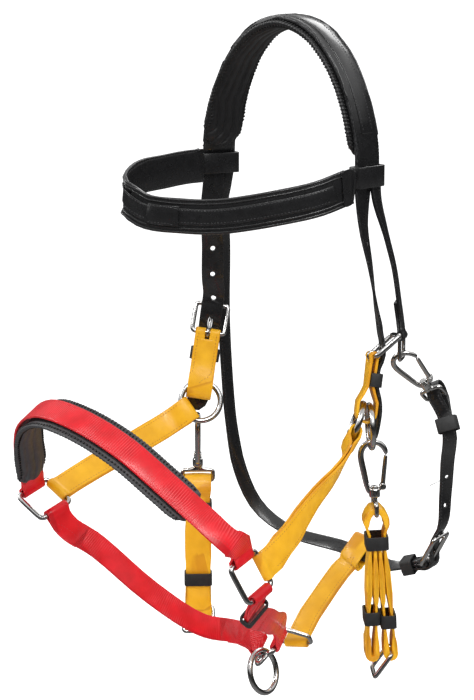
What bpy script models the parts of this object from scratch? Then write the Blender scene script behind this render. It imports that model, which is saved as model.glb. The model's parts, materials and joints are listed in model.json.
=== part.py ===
import math

import bmesh
import bpy
from mathutils import Matrix, Vector

# Sizes, in metres
mm = 0.001
fitGap = 0.3 * mm

padArchHalfWidth = {"l": 87 * mm, "r": 82 * mm}
padArchHeight = 135 * mm
padThickness = 9 * mm
padWidth = 44 * mm
padEndHeight = 113 * mm
pollFlatLength = 26 * mm
crownWidth = 34 * mm
crownThickness = 3.4 * mm
overlayWidth = 17 * mm
overlayThickness = 1.8 * mm

billetWidth = 22 * mm
billetThickness = 2.8 * mm
throatWidth = 14 * mm
throatThickness = 2.6 * mm
strapWidth = 25 * mm
strapThickness = 2.3 * mm
billetHole = 5 * mm
billetHolePitch = 27 * mm

browWidth = 33 * mm
browThickness = 3.2 * mm
browInlayWidth = 15 * mm
browInlayThickness = 1.6 * mm
badgeFirst = 20
badgeHeight = 19 * mm
badgeThickness = 1.4 * mm
loopHeight = 20 * mm
loopWall = 2.4 * mm

ringWire = 5.5 * mm
ringCentre = 40.5 * mm
squareWire = 4.6 * mm
squareSide = 36 * mm
buckleWire = 4.2 * mm
buckleLength = 30 * mm
tongueWire = 3.2 * mm
keeperLength = 13 * mm
keeperWall = 2 * mm
leadRingWire = 5.2 * mm
leadRingCentre = 42 * mm

nosePadWidth = 41 * mm
nosePadThickness = 8 * mm

hookWire = 5.6 * mm
gateWire = 3.8 * mm
stemWire = 4.4 * mm
bossWidth = 10 * mm
bossHeight = 8 * mm
yokeWidth = 31 * mm
yokeHeight = 11 * mm
yokeWire = 4 * mm
eyeWidth = 21 * mm

up = Vector((0, 0, 1))


pollBack = 7 * mm


def step(x, y, z):
    return Vector((x, y, z)) * mm


def point(x, y, z):
    # a place measured from the plane in front of the poll's middle
    return step(x, y, z) - Vector((0, pollBack, 0))


for old in list(bpy.data.objects):
    bpy.data.objects.remove(old, do_unlink=True)

bridle = bpy.data.collections.new("marathon_bridle")
bpy.context.scene.collection.children.link(bridle)
cutters = bpy.data.collections.new("cutters")
bpy.context.scene.collection.children.link(cutters)
cutters.hide_render = True


# Materials
def material(name, colour, roughness, metallic=0.0):
    made = bpy.data.materials.new(name)
    made.use_nodes = True
    shader = made.node_tree.nodes["Principled BSDF"]
    shader.inputs["Base Color"].default_value = (*colour, 1)
    shader.inputs["Roughness"].default_value = roughness
    shader.inputs["Metallic"].default_value = metallic
    made.diffuse_color = (*colour, 1)
    return made


blackLeather = material("black_leather", (0.012, 0.012, 0.013), 0.3)
blackPad = material("black_pad", (0.02, 0.02, 0.022), 0.6)
yellowWebbing = material("yellow_webbing", (0.9, 0.48, 0.02), 0.4)
redWebbing = material("red_webbing", (0.8, 0.015, 0.03), 0.35)
blackRubber = material("black_rubber", (0.02, 0.02, 0.02), 0.65)
steel = material("polished_steel", (0.75, 0.75, 0.75), 0.15, 1.0)


# Objects
def show(name, mesh, skin, matrix=None, pivot=None):
    # pivot is the place on its joint's axis where a moving piece has its origin
    made = bpy.data.objects.new(name, mesh)
    bridle.objects.link(made)
    mesh.materials.clear()
    mesh.materials.append(skin)
    matrix = matrix or Matrix.Identity(4)
    if pivot:
        shift = matrix.inverted() @ pivot
        mesh.transform(Matrix.Translation(-shift))
        matrix = matrix @ Matrix.Translation(shift)
    made.matrix_world = matrix
    mesh.shade_smooth()
    mesh.set_sharp_from_angle(angle=math.radians(35))
    return made


def meshOf(made):
    graph = bpy.context.evaluated_depsgraph_get()
    graph.update()
    return bpy.data.meshes.new_from_object(made.evaluated_get(graph))


def drop(made):
    bpy.data.objects.remove(made, do_unlink=True)


def gridMesh(name, rows, closedRows=False, closedColumns=False):
    # rows of points joined by quads
    mesh = bpy.data.meshes.new(name)
    wide = len(rows[0])
    points = [p for row in rows for p in row]
    faces = []
    for i in range(len(rows) if closedRows else len(rows) - 1):
        j = (i + 1) % len(rows)
        for a in range(wide if closedColumns else wide - 1):
            b = (a + 1) % wide
            faces.append((i * wide + a, i * wide + b, j * wide + b, j * wide + a))
    mesh.from_pydata([tuple(p) for p in points], [], faces)
    return mesh


def outward(mesh):
    shape = bmesh.new()
    shape.from_mesh(mesh)
    bmesh.ops.recalc_face_normals(shape, faces=shape.faces)
    shape.to_mesh(mesh)
    shape.free()
    return mesh


def capped(mesh):
    shape = bmesh.new()
    shape.from_mesh(mesh)
    bmesh.ops.holes_fill(shape, edges=[e for e in shape.edges if e.is_boundary])
    bmesh.ops.recalc_face_normals(shape, faces=shape.faces)
    shape.to_mesh(mesh)
    shape.free()
    return mesh


def wireMesh(points, wire, closed=False, sizes=None, resolution=2):
    # round wire along points
    curve = bpy.data.curves.new("wire", "CURVE")
    curve.dimensions = "3D"
    curve.bevel_depth = wire / 2
    curve.bevel_resolution = resolution
    curve.use_fill_caps = not closed
    line = curve.splines.new("POLY")
    line.points.add(len(points) - 1)
    for i, p in enumerate(points):
        line.points[i].co = (*p, 1)
        if sizes:
            line.points[i].radius = sizes[i]
    line.use_cyclic_u = closed
    held = bpy.data.objects.new("wire", curve)
    cutters.objects.link(held)
    graph = bpy.context.evaluated_depsgraph_get()
    graph.update()
    mesh = bpy.data.meshes.new_from_object(held.evaluated_get(graph))
    drop(held)
    shape = bmesh.new()
    shape.from_mesh(mesh)
    bmesh.ops.remove_doubles(shape, verts=shape.verts, dist=0.00001)
    bmesh.ops.recalc_face_normals(shape, faces=shape.faces)
    shape.to_mesh(mesh)
    shape.free()
    return mesh


def combine(base, other, operation, solver="EXACT"):
    # union or cut of two closed meshes in the same space
    first = bpy.data.objects.new("first", base)
    second = bpy.data.objects.new("second", other)
    cutters.objects.link(first)
    cutters.objects.link(second)
    work = first.modifiers.new("work", "BOOLEAN")
    work.operation = operation
    work.solver = solver
    work.object = second
    mesh = meshOf(first)
    drop(first)
    drop(second)
    return mesh


# Frames along a strap
class Spine:
    """Smooth line with an across direction at each step; face = +1 or -1 turns the outer side."""

    def __init__(self, points, across, face=1, steps=6):
        self.points = []
        self.across = []
        count = len(points)
        for i in range(count - 1):
            before = points[i - 1] if i > 0 else points[0] * 2 - points[1]
            after = points[i + 2] if i + 2 < count else points[-1] * 2 - points[-2]
            for k in range(steps):
                f = k / steps
                self.points.append(curveAt(before, points[i], points[i + 1], after, f))
                self.across.append(across[i].lerp(across[i + 1], f))
        self.points.append(points[-1].copy())
        self.across.append(across[-1].copy())
        self.face = face
        self.places = [0.0]
        for a, b in zip(self.points, self.points[1:]):
            self.places.append(self.places[-1] + (b - a).length)
        self.length = self.places[-1]

    def at(self, s):
        # centre, direction along, across and outward at arc length s
        last = len(self.points) - 1
        i = 0
        while i < last - 1 and self.places[i + 1] < s:
            i += 1
        span = self.places[i + 1] - self.places[i]
        f = (s - self.places[i]) / span
        inside = min(max(f, 0), 1)
        centre = self.points[i].lerp(self.points[i + 1], inside)
        along = self.tangent(i).lerp(self.tangent(i + 1), inside).normalized()
        centre = centre + along * (f - inside) * span
        across = self.across[i].lerp(self.across[i + 1], inside)
        across = (across - along * across.dot(along)).normalized()
        out = across.cross(along) * self.face
        return centre, along, across, out

    def tangent(self, i):
        a = self.points[max(i - 1, 0)]
        b = self.points[min(i + 1, len(self.points) - 1)]
        return (b - a).normalized()

    def frame(self, s, h=0.0):
        # matrix with x across, y along, z outward
        centre, along, across, out = self.at(s)
        made = Matrix.Identity(4)
        for i in range(3):
            made[i][0] = across[i] * self.face
            made[i][1] = along[i]
            made[i][2] = out[i]
            made[i][3] = (centre + out * h)[i]
        return made


def curveAt(a, b, c, d, f):
    # smooth curve from b to c, its slopes weighted by the spans on each side
    before, here, after = (b - a).length, (c - b).length, (d - c).length
    leave = ((b - a) / before - (c - a) / (before + here) + (c - b) / here) * here
    arrive = ((c - b) / here - (d - b) / (here + after) + (d - c) / after) * here
    return (
        b * (2 * f**3 - 3 * f**2 + 1)
        + leave * (f**3 - 2 * f**2 + f)
        + c * (3 * f**2 - 2 * f**3)
        + arrive * (f**3 - f**2)
    )


def leaving(bar, towards, barWay, reach):
    # a place at this reach from a bar, square to it, on the way towards another place
    way = towards - bar
    way = way - barWay * way.dot(barWay)
    return bar + way.normalized() * reach


def bandMesh(spine, path, width, thickness, closed=False, widths=None):
    # a band of one thickness whose middle follows path, a list of (s, h)
    rows = []
    for i, (s, h) in enumerate(path):
        centre, along, across, out = spine.at(s)
        half = width / 2 * (widths[i] if widths else 1)
        rows.append([centre + out * h - across * half, centre + out * h + across * half])
    mesh = gridMesh("band", rows, closedRows=closed)
    held = bpy.data.objects.new("band", mesh)
    cutters.objects.link(held)
    shell = held.modifiers.new("thickness", "SOLIDIFY")
    shell.thickness = thickness
    shell.offset = 0
    shell.use_even_offset = True
    made = meshOf(held)
    drop(held)
    return outward(made)


def evenly(start, end, count):
    return [start + (end - start) * i / (count - 1) for i in range(count)]


def flatStrap(name, spine, width, thickness, skin, start=0.0, end=None, h=0.0, count=20, tip=0.0, holes=()):
    end = spine.length if end is None else end
    path = [(s, h) for s in evenly(start, end, count)]
    widths = [1.0] * count
    if tip:
        path = [(s, h) for s in evenly(start, end - tip, count - 2)]
        path += [(end - tip * 0.45, h), (end, h)]
        widths = [1.0] * (count - 2) + [0.8, 0.25]
    mesh = bandMesh(spine, path, width, thickness, widths=widths)
    mesh = pierced(mesh, spine, holes, thickness)
    return show(name, mesh, skin)


def pierced(mesh, spine, holes, thickness):
    # holes is a list of (s, h, width, length over width)
    for s, h, wide, stretch in holes:
        bpy.ops.mesh.primitive_cylinder_add(vertices=12, radius=wide / 2, depth=thickness * 4)
        punch = bpy.context.object
        punch.data.transform(Matrix.Diagonal((1, stretch, 1, 1)))
        punch.data.transform(spine.frame(s, h))
        tool = punch.data.copy()
        drop(punch)
        mesh = combine(mesh, tool, "DIFFERENCE")
    return mesh


def neck(reach, radius, half):
    # from the open part of a fold down to layers lying together
    drop = radius - half
    return [(reach, radius), (reach + drop * 1.2, radius * 0.45 + half * 0.55), (reach + drop * 2.4, half)]


def halfTurn(place, radius, way, steps=7):
    # round the end at s = place, from h = radius to h = -radius
    turn = []
    for i in range(steps):
        a = math.pi * i / (steps - 1)
        turn.append((place + way * radius * math.sin(a), radius * math.cos(a)))
    return turn


def topLayer(length, half, startBend, endBend, count):
    """One layer from start to end. A bend is (radius, reach, back): radius of the band's middle, length of the
    open part, and how far past the bar's middle its half circle lies."""
    first = neck(startBend[1], startBend[0], half) if startBend else [(0.0, half)]
    last = neck(endBend[1], endBend[0], half) if endBend else [(0.0, half)]
    last = [(length - s, h) for s, h in reversed(last)]
    middle = [(s, half) for s in evenly(first[-1][0], last[0][0], count)]
    return first + middle[1:-1] + last


def doubledPath(length, half, startBend, endBend, count):
    # closed path round two bars
    top = topLayer(length, half, startBend, endBend, count)
    bottom = [(s, -h) for s, h in reversed(top)]
    far = halfTurn(length + endBend[2], endBend[0], 1)
    near = halfTurn(-startBend[2], startBend[0], -1)
    near = [(s, -h) for s, h in near]
    if startBend[2] == 0 and startBend[1] == 0:
        near = near[1:-1]
    if endBend[2] == 0 and endBend[1] == 0:
        far = far[1:-1]
    return top + far + bottom + near


def lapSteps(start, end, longest=7 * mm):
    # places along a short lap, close enough to follow a turning strap
    return evenly(start, end, max(2, math.ceil(abs(end - start) / longest) + 1))[1:]


def foldedPath(length, half, startBend, endBend, startLap, endLap, count, side=1, startEase=0.0, endEase=0.0):
    """Open path: one long layer with a short lap at each folded end. An ease is more room beside that lap,
    where the strap turns."""
    path = topLayer(length, half, startBend, endBend, count)
    if startBend:
        lapHalf = half + startEase
        turn = [(s, -h) for s, h in halfTurn(-startBend[2], startBend[0], -1)]
        back = [(s, -h) for s, h in neck(startBend[1], startBend[0], lapHalf)]
        back += [(s, -lapHalf) for s in lapSteps(back[-1][0], startLap)]
        path = list(reversed(back)) + turn + path
    if endBend:
        lapHalf = half + endEase
        turn = halfTurn(length + endBend[2], endBend[0], 1)
        back = [(length - s, -h) for s, h in neck(endBend[1], endBend[0], lapHalf)]
        back += [(s, -lapHalf) for s in lapSteps(back[-1][0], length - endLap)]
        path = path + turn + back
    path = [(s, h * side) for s, h in path]
    return [p for i, p in enumerate(path) if i == 0 or math.dist(p, path[i - 1]) > 0.05 * mm]


def doubled(name, spine, width, thickness, skin, startBend, endBend, half=None, count=8, holes=()):
    half = (thickness + fitGap) / 2 if half is None else half
    path = doubledPath(spine.length, half, startBend, endBend, count)
    path = [p for i, p in enumerate(path) if math.dist(p, path[i - 1]) > 0.05 * mm]
    mesh = bandMesh(spine, path, width, thickness, closed=True)
    mesh = pierced(mesh, spine, holes, thickness)
    return show(name, mesh, skin)


def folded(
    name, spine, width, thickness, skin, startBend, endBend, startLap=0.0, endLap=0.0, side=1, count=24, holes=(),
    endEase=0.0,
):
    half = (thickness + fitGap) / 2
    path = foldedPath(spine.length, half, startBend, endBend, startLap, endLap, count, side, 0.0, endEase)
    mesh = bandMesh(spine, path, width, thickness)
    mesh = pierced(mesh, spine, holes, thickness)
    return show(name, mesh, skin)


def barBend(wire, thickness):
    return wire / 2 + fitGap + thickness / 2


# Round and square rings
def ringMesh(centreWidth, wire, segments=24, around=8):
    bpy.ops.mesh.primitive_torus_add(
        major_radius=centreWidth / 2, minor_radius=wire / 2, major_segments=segments, minor_segments=around
    )
    held = bpy.context.object
    mesh = held.data.copy()
    drop(held)
    return mesh


def roundedLoop(wide, high, corner, arcs=3):
    # points of a rounded rectangle in the xy plane, centred
    points = []
    for cx, cy, start in ((1, 1, 0), (-1, 1, 90), (-1, -1, 180), (1, -1, 270)):
        for i in range(arcs + 1):
            a = math.radians(start + 90 * i / arcs)
            points.append(
                Vector((cx * (wide / 2 - corner) + corner * math.cos(a), cy * (high / 2 - corner) + corner * math.sin(a), 0))
            )
    return points


def axes(origin, x, y):
    # matrix from an origin and two directions, the second made square to the first
    x = x.normalized()
    y = (y - x * y.dot(x)).normalized()
    z = x.cross(y)
    made = Matrix.Identity(4)
    for i in range(3):
        made[i][0], made[i][1], made[i][2], made[i][3] = x[i], y[i], z[i], origin[i]
    return made


def keeperMesh(inWide, inHigh, wall, length, corner=1.5 * mm):
    # a band of rectangular section: x across, z out, y along
    outer = roundedLoop(inWide + 2 * wall, inHigh + 2 * wall, corner + wall, 2)
    inner = roundedLoop(inWide, inHigh, corner, 2)
    rows = []
    for loop, y in ((outer, -length / 2), (outer, length / 2), (inner, length / 2), (inner, -length / 2)):
        rows.append([Vector((p.x, y, p.y)) for p in loop])
    return outward(gridMesh("keeper", rows, closedRows=True, closedColumns=True))


def keeper(name, frame, inWide, inHigh, length=keeperLength, wall=keeperWall, skin=None):
    return show(name, keeperMesh(inWide, inHigh, wall, length), skin or blackRubber, frame)


# Crown: an arch over the poll with the strap lying on its pad
def archPoint(angle, rise):
    # angle from the top; rise outward from the pad's underside
    x = (padArchHalfWidth["l" if angle > 0 else "r"] + rise) * math.sin(angle)
    z = padArchHeight * (math.cos(angle) - 1) + rise * math.cos(angle)
    return Vector((x, 0, z))


def archSpine(rise, endAngle, legs, steps=3, count=9):
    # from the far end over the top to the near end; legs are points below each end
    points = []
    across = []
    for leg in reversed(legs["r"]):
        points.append(leg[0])
        across.append(leg[1])
    for i in range(count):
        angle = -endAngle + 2 * endAngle * i / (count - 1)
        points.append(archPoint(angle, rise))
        turn = crownTwist["l" if angle > 0 else "r"] * abs(math.sin(angle)) ** 3
        across.append(Vector((-math.copysign(math.sin(turn), angle), math.cos(turn), 0)))
    for leg in legs["l"]:
        points.append(leg[0])
        across.append(leg[1])
    return Spine(points, across, face=-1, steps=steps)


def acrossAt(side, degrees):
    # rearward direction of a side strap turned by this angle
    a = math.radians(degrees)
    return Vector((-side * math.sin(a), math.cos(a), 0))


def outAt(side, degrees):
    a = math.radians(degrees)
    return Vector((side * math.cos(a), math.sin(a), 0))


crownTwist = {"l": math.radians(3), "r": math.radians(20)}
padEndAngle = math.acos(1 - padEndHeight / padArchHeight)
sideSign = {"l": 1, "r": -1}
strapRise = padThickness + fitGap + crownThickness / 2
loopCentre = {"l": point(99, 6, -133), "r": point(-97, 11, -134)}
loopTurn = {"l": 3, "r": 20}


crownStop = 5.5 * mm
crownTuck = 1 * mm


def crownLeg(side, drop):
    k = sideSign[side]
    return loopCentre[side] + Vector((0, 0, drop)) - outAt(k, loopTurn[side]) * crownTuck, acrossAt(k, loopTurn[side])


crownLegs = {side: [crownLeg(side, crownStop)] for side in "lr"}
crownSpine = archSpine(strapRise, padEndAngle, crownLegs)
overlayRise = crownThickness / 2 + overlayThickness / 2 - fitGap
overlayInset = 34 * mm
crownPath = [(s, 0.0) for s in evenly(0, crownSpine.length, 33)]
overlayPath = [(s, overlayRise) for s in evenly(overlayInset, crownSpine.length - overlayInset, 27)]
crownMesh = combine(
    bandMesh(crownSpine, crownPath, crownWidth, crownThickness),
    bandMesh(crownSpine, overlayPath, overlayWidth, overlayThickness),
    "UNION",
)
show("crown_strap", crownMesh, blackLeather)


def padMesh(spine, start, end, width, thickness, lift, count, flat=0.0, gathers=0.0, offset=0.0, shape=None):
    """Padded strip under a strap: flat on the strap's side, full below, thin at its edges."""
    rows = []
    section = shape or [(-1, -0.30), (-0.96, -0.52), (-0.78, -0.62), (-0.66, -0.9), (-0.42, -1)]
    for s in evenly(start, end, count):
        centre, along, across, out = spine.at(s)
        reach = min(s - start, end - s)
        ease = min(1, 0.62 + 0.38 * math.sqrt(max(reach, 0) / (width * 0.3))) if reach < width * 0.3 else 1
        row = []
        ring = section + [(-x, h) for x, h in reversed(section)]
        ring += [(1, -0.08), (0.9, 0), (-0.9, 0), (-1, -0.08)]
        for x, h in ring:
            place = centre + across * (x * width / 2 * ease + offset) + out * (lift + h * thickness)
            if h == -1 and abs(place.x) < flat / 2:
                place.z = 0
            row.append(place)
        rows.append(row)
    return capped(gridMesh("pad", rows, closedColumns=True))


padLift = -(crownThickness / 2 + 2 * fitGap)
overPad = [s for s in evenly(0, crownSpine.length, 400) if crownSpine.at(s)[0].z > -padEndHeight]
show(
    "poll_pad",
    padMesh(crownSpine, overPad[0], overPad[-1], padWidth, padThickness, padLift, 37, flat=pollFlatLength),
    blackPad,
)

# Browband, each end running into the front wall of its loop
browMiddle = [
    (-101, -28, -136), (-101, -60, -138), (-96, -105, -142), (-84, -129, -154), (-68, -128, -165),
    (-30, -112, -170), (0, -96, -170), (30, -81, -165), (55, -64, -159), (78, -42, -152),
]
browInward = {"r": 4.7 * mm, "l": 7.4 * mm}
browDrop = {"r": 1.9 * mm, "l": 8.5 * mm}
loopDepth = billetThickness + throatThickness + 3 * fitGap
loopLead = crownWidth / 2 + 3.5 * fitGap + loopWall / 2
loopRoom = 3.8 * mm
loopShift = 1.1 * mm


def browJoin(side):
    k = sideSign[side]
    forward = -acrossAt(k, loopTurn[side]) * loopLead
    return loopCentre[side] + forward - outAt(k, loopTurn[side]) * browInward[side] - up * browDrop[side]


browPoints = [browJoin("r")] + [point(*p) for p in browMiddle] + [browJoin("l")]
browSpine = Spine(browPoints, [up] * len(browPoints), face=-1, steps=3)
browPlaces = evenly(0, browSpine.length, 46)
browMesh = bandMesh(browSpine, [(s, 0.0) for s in browPlaces], browWidth, browThickness)
for side in "lr":
    k = sideSign[side]
    loop = keeperMesh(crownWidth + 7 * fitGap, loopDepth + loopRoom, loopWall, loopHeight)
    loop.transform(axes(loopCentre[side] - outAt(k, loopTurn[side]) * loopShift, acrossAt(k, loopTurn[side]), -up))
    browMesh = combine(browMesh, loop, "UNION")
show("browband", browMesh, blackLeather)
inlayRise = browThickness / 2 + fitGap + browInlayThickness / 2
inlayPath = [(s, inlayRise) for s in browPlaces[2:-2]]
show("browband_inlay", bandMesh(browSpine, inlayPath, browInlayWidth, browInlayThickness), blackLeather)
badgeRise = inlayRise + browInlayThickness / 2 + fitGap + badgeThickness / 2
badgePath = [(s, badgeRise) for s in browPlaces[badgeFirst : badgeFirst + 5]]
show("badge_plate", bandMesh(browSpine, badgePath, badgeHeight, badgeThickness), blackLeather)

# Straps below the browband: a cheek billet in front and a throat strap behind it, outside
cheekRise = -(throatThickness + fitGap) / 2
throatRise = (billetThickness + fitGap) / 2
cheekShift = -(crownWidth - billetWidth) / 2
throatShift = (crownWidth - throatWidth) / 2
foldHalf = (throatThickness + fitGap) / 2
tailLength = 30 * mm


# Cheek buckles, short cheeks and rings
buckleTurn = 50
ringTurn = 45
ringLean = math.radians(20)
bitLean = {"l": math.radians(3), "r": math.radians(-2)}
barPlace = {"l": point(106.5, 7, -302), "r": point(-112, 11, -308)}
foldPlace = {"l": point(107.5, -2.5, -347.5), "r": point(-113, 1, -357.5)}
cheekPoints = {
    "l": [((99, 0, -178), 22), ((104, 5, -217), 34), ((108, 9, -253), 44)],
    "r": [((-100, 4, -178), 28), ((-105, 11, -217), 38), ((-109, 15, -253), 46)],
}
ringRadius = ringCentre / 2
ringSag = ringRadius - math.sqrt(ringRadius**2 - (strapWidth / 2) ** 2)
ringRoom = 3 * mm
ringGap = 0.5 * mm
ringOffset = (ringWire + ringGap) / 2
cavity = 7.6 * mm
shortBend = cavity + strapThickness / 2
buckleBend = barBend(buckleWire, strapThickness)
hangSteps = [1 * mm, -5 * mm, -11.5 * mm]
# rise above the bar and distance out from it, in mm, where the billet passes the buckle
billetRoute = {
    "l": [(32, 2), (22, 4.5), (14, 7.2), (8, 8.6), (4, 8.9), (0, 8.6), (-4, 7.6)],
    "r": [(40, 2), (30, 4.6), (22, 3), (16.4, 4.5), (10.3, 7.3), (4.6, 8.7), (-1, 7.6)],
}
tongueCross = {"l": 8.9, "r": 12.3}
frameSwing = {"l": math.radians(42), "r": math.radians(17)}


def frameLocal(matrix, y, z, x=0.0):
    return matrix @ (Vector((x, y, z)) * mm)


shortHalf = 2.7 * mm
billetRide = buckleWire / 2 + fitGap + tongueWire + fitGap + billetThickness / 2
underEnd = -(buckleWire / 2 + fitGap + billetThickness / 2)
tongueRide = buckleWire / 2 + fitGap + tongueWire / 2


def buckleFrameMesh(inWide, length, wire, strap):
    # bar on the x axis at y = 0, end bar at y = length; the bar is straight for the strap's width
    loop = roundedLoop(inWide + wire, length, (inWide + wire - strap) / 2 - fitGap)
    return wireMesh([p + Vector((0, length / 2, 0)) for p in loop], wire, closed=True)


def tongueMesh(length, wire, bar):
    # eye round the bar, shank over the end bar
    eye = bar / 2 + fitGap + wire / 2
    points = [Vector((0, eye * math.cos(math.radians(d)), eye * math.sin(math.radians(d)))) for d in range(-210, 91, 30)]
    shank = [Vector((0, length * f, eye)) for f in (0.3, 0.6, 0.9)]
    tip = Vector((0, length + wire * 0.9, eye - wire * 0.1))
    sizes = [1.0] * (len(points) + 3) + [0.55]
    return wireMesh(points + shank + [tip], wire, sizes=sizes)


slotWidth = tongueWire + 1.4 * mm


def cutSlot(mesh, matrix, wide, low, high, deep, solver="EXACT"):
    bpy.ops.mesh.primitive_cube_add(size=1)
    box = bpy.context.object
    box.data.transform(Matrix.Diagonal((wide, high - low, deep, 1)))
    box.data.transform(Matrix.Translation((0, (high + low) / 2, 0)))
    box.data.transform(matrix)
    tool = box.data.copy()
    drop(box)
    return combine(mesh, tool, "DIFFERENCE", solver)


ringMatrices = {}
for side in "lr":
    k = sideSign[side]
    out = outAt(k, buckleTurn)
    rear = acrossAt(k, buckleTurn)
    bar = barPlace[side]
    fold = foldPlace[side]
    shortSpine = Spine(
        [bar, bar.lerp(fold, 0.5), fold],
        [acrossAt(k, buckleTurn), acrossAt(k, (buckleTurn + ringTurn) / 2), acrossAt(k, ringTurn)],
        face=-k,
        steps=4,
    )
    path = doubledPath(
        shortSpine.length, shortHalf, (buckleBend, 0, 0), (shortBend, ringWire / 2 + fitGap, ringSag + ringRoom), 6
    )
    path = [p for i, p in enumerate(path) if math.dist(p, path[i - 1]) > 0.05 * mm]
    mesh = bandMesh(shortSpine, path, strapWidth, strapThickness, closed=True)
    swing = frameSwing[side]
    barOut = shortSpine.at(0)[3]
    barUp = -shortSpine.at(0)[1]
    buckleUp = barUp * math.cos(swing) + barOut * math.sin(swing)
    barWay = shortSpine.at(0)[2]
    buckle = axes(bar, barWay * k, buckleUp)
    slot = axes(bar, barWay * k, barUp)
    mesh = cutSlot(mesh, slot, slotWidth, -6.5 * mm, 9 * mm, 24 * mm)
    show("short_cheek_" + side, mesh, yellowWebbing)
    inWide = strapWidth + 4 * mm
    show("cheek_buckle_" + side, buckleFrameMesh(inWide, buckleLength, buckleWire, strapWidth), steel, buckle)
    show("cheek_tongue_" + side, tongueMesh(buckleLength, tongueWire, buckleWire), steel, buckle)

    # Billet: from the loop, under the buckle's end, over its bar and down outside the short cheek
    w = acrossAt(k, loopTurn[side])
    o = outAt(k, loopTurn[side])
    first = loopCentre[side] + w * cheekShift + o * cheekRise
    points = [first + up * z for z in hangSteps]
    across = [w] * len(hangSteps)
    for place, turn in cheekPoints[side]:
        points.append(point(*place))
        across.append(acrossAt(k, turn))
    for rise, lift in billetRoute[side]:
        points.append(bar + barUp * rise * mm + barOut * lift * mm)
        across.append(rear)
    tailRise = shortHalf + strapThickness / 2 + fitGap + billetThickness / 2
    for s, h in ((9 * mm, tailRise + 0.8 * mm), (18 * mm, tailRise + 0.05 * mm)):
        c, a, x, n = shortSpine.at(s)
        points.append(c + n * h)
        across.append(x)
    foldRise = cavity + strapThickness + fitGap * 2 + billetThickness / 2
    for s, h in (
        (shortSpine.length - 21 * mm, tailRise + 0.4 * mm),
        (shortSpine.length - 4 * mm, foldRise),
        (shortSpine.length + tailLength, foldRise + 0.5 * mm),
    ):
        c, a, x, n = shortSpine.at(s)
        points.append(c + n * h)
        across.append(x)
    cheekSpine = Spine(points, across, face=-k, steps=4)
    tongueHole = min(
        evenly(0, cheekSpine.length, 600),
        key=lambda s: (cheekSpine.at(s)[0] - frameLocal(buckle, tongueCross[side], tongueRide / mm)).length,
    )
    holes = [(tongueHole, 0, tongueWire + 1.4 * mm, 3.6)]
    holes += [(tongueHole - i * billetHolePitch, 0, billetHole, 1) for i in (1, 2, 3, 4) if tongueHole > i * billetHolePitch]
    flatStrap(
        "cheek_strap_" + side, cheekSpine, billetWidth, billetThickness, blackLeather, count=38, tip=12 * mm, holes=holes
    )
    keeperPlace = 22 * mm
    low = shortHalf - strapThickness / 2 - 2.8 * fitGap
    high = tailRise + billetThickness / 2 + 5 * fitGap
    keeper(
        "cheek_keeper_" + side,
        shortSpine.frame(keeperPlace, (low + high) / 2),
        strapWidth + 4 * fitGap,
        high - low,
        wall=1.8 * mm,
    )

    # Two round rings side by side in the fold
    c, a, x, n = shortSpine.at(shortSpine.length)
    down = Vector((0, 0, -1))
    swingOut = down * math.cos(bitLean[side]) + n * math.sin(bitLean[side])
    outer = c + n * ringOffset + swingOut * ringRadius
    ringB = axes(outer, x * k, -swingOut)
    lean = down * math.cos(ringLean) - n * math.sin(ringLean)
    inner = c - n * ringOffset + lean * ringRadius
    ringA = axes(inner, x * k, -lean)
    ringMatrices["a" + side] = ringA
    ringMatrices["b" + side] = ringB
    show("halter_ring_" + side, ringMesh(ringCentre, ringWire), steel, ringA)
    show("bit_ring_" + side, ringMesh(ringCentre, ringWire), steel, ringB, ringB @ Vector((0, ringRadius, 0)))

# Square rings and halter cheeks
squarePlace = {"l": point(133, -190.5, -468), "r": point(-133, -195, -445)}
squareUp = {"l": Vector((-0.34, -0.30, 0.88)), "r": Vector((-0.87, -0.075, 0.48))}
squareMatrices = {}
halterBend = ringWire / 2 + 4 * fitGap + strapThickness / 2
squareBend = barBend(squareWire, strapThickness) + fitGap
for side in "lr":
    k = sideSign[side]
    centre = squarePlace[side]
    ring = ringMatrices["a" + side]
    ringPlace = ring.translation
    ringOut = ring.to_3x3() @ Vector((0, 0, 1))
    reach = (centre - ringPlace).normalized()
    lead = (reach - ringOut * reach.dot(ringOut)).normalized()
    toRing = -reach
    rise = squareUp[side].normalized()
    toRing = (toRing - rise * toRing.dot(rise)).normalized()
    square = axes(centre, toRing, rise)
    squareMatrices[side] = square
    loop = roundedLoop(squareSide, squareSide, 4.8 * mm)
    show("square_ring_" + side, wireMesh(loop, squareWire, closed=True), steel, square)
    start = ringPlace + lead * ringRadius
    end = centre + toRing * squareSide / 2
    tangent = ringOut.cross(lead)
    tangent = tangent if tangent.z > 0 else -tangent
    points = [start, start + lead * 22 * mm, start.lerp(end, 0.55), end + toRing * 18 * mm, end]
    across = [tangent, tangent, tangent.lerp(rise, 0.5), rise, rise]
    spine = Spine(points, across, face=k, steps=5)
    doubled(
        "halter_cheek_" + side,
        spine,
        strapWidth,
        strapThickness,
        yellowWebbing,
        (halterBend, ringWire / 2 + fitGap, ringSag),
        (squareBend, 0, 0),
        half=(strapThickness + 3 * fitGap) / 2,
        count=30,
    )

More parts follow.
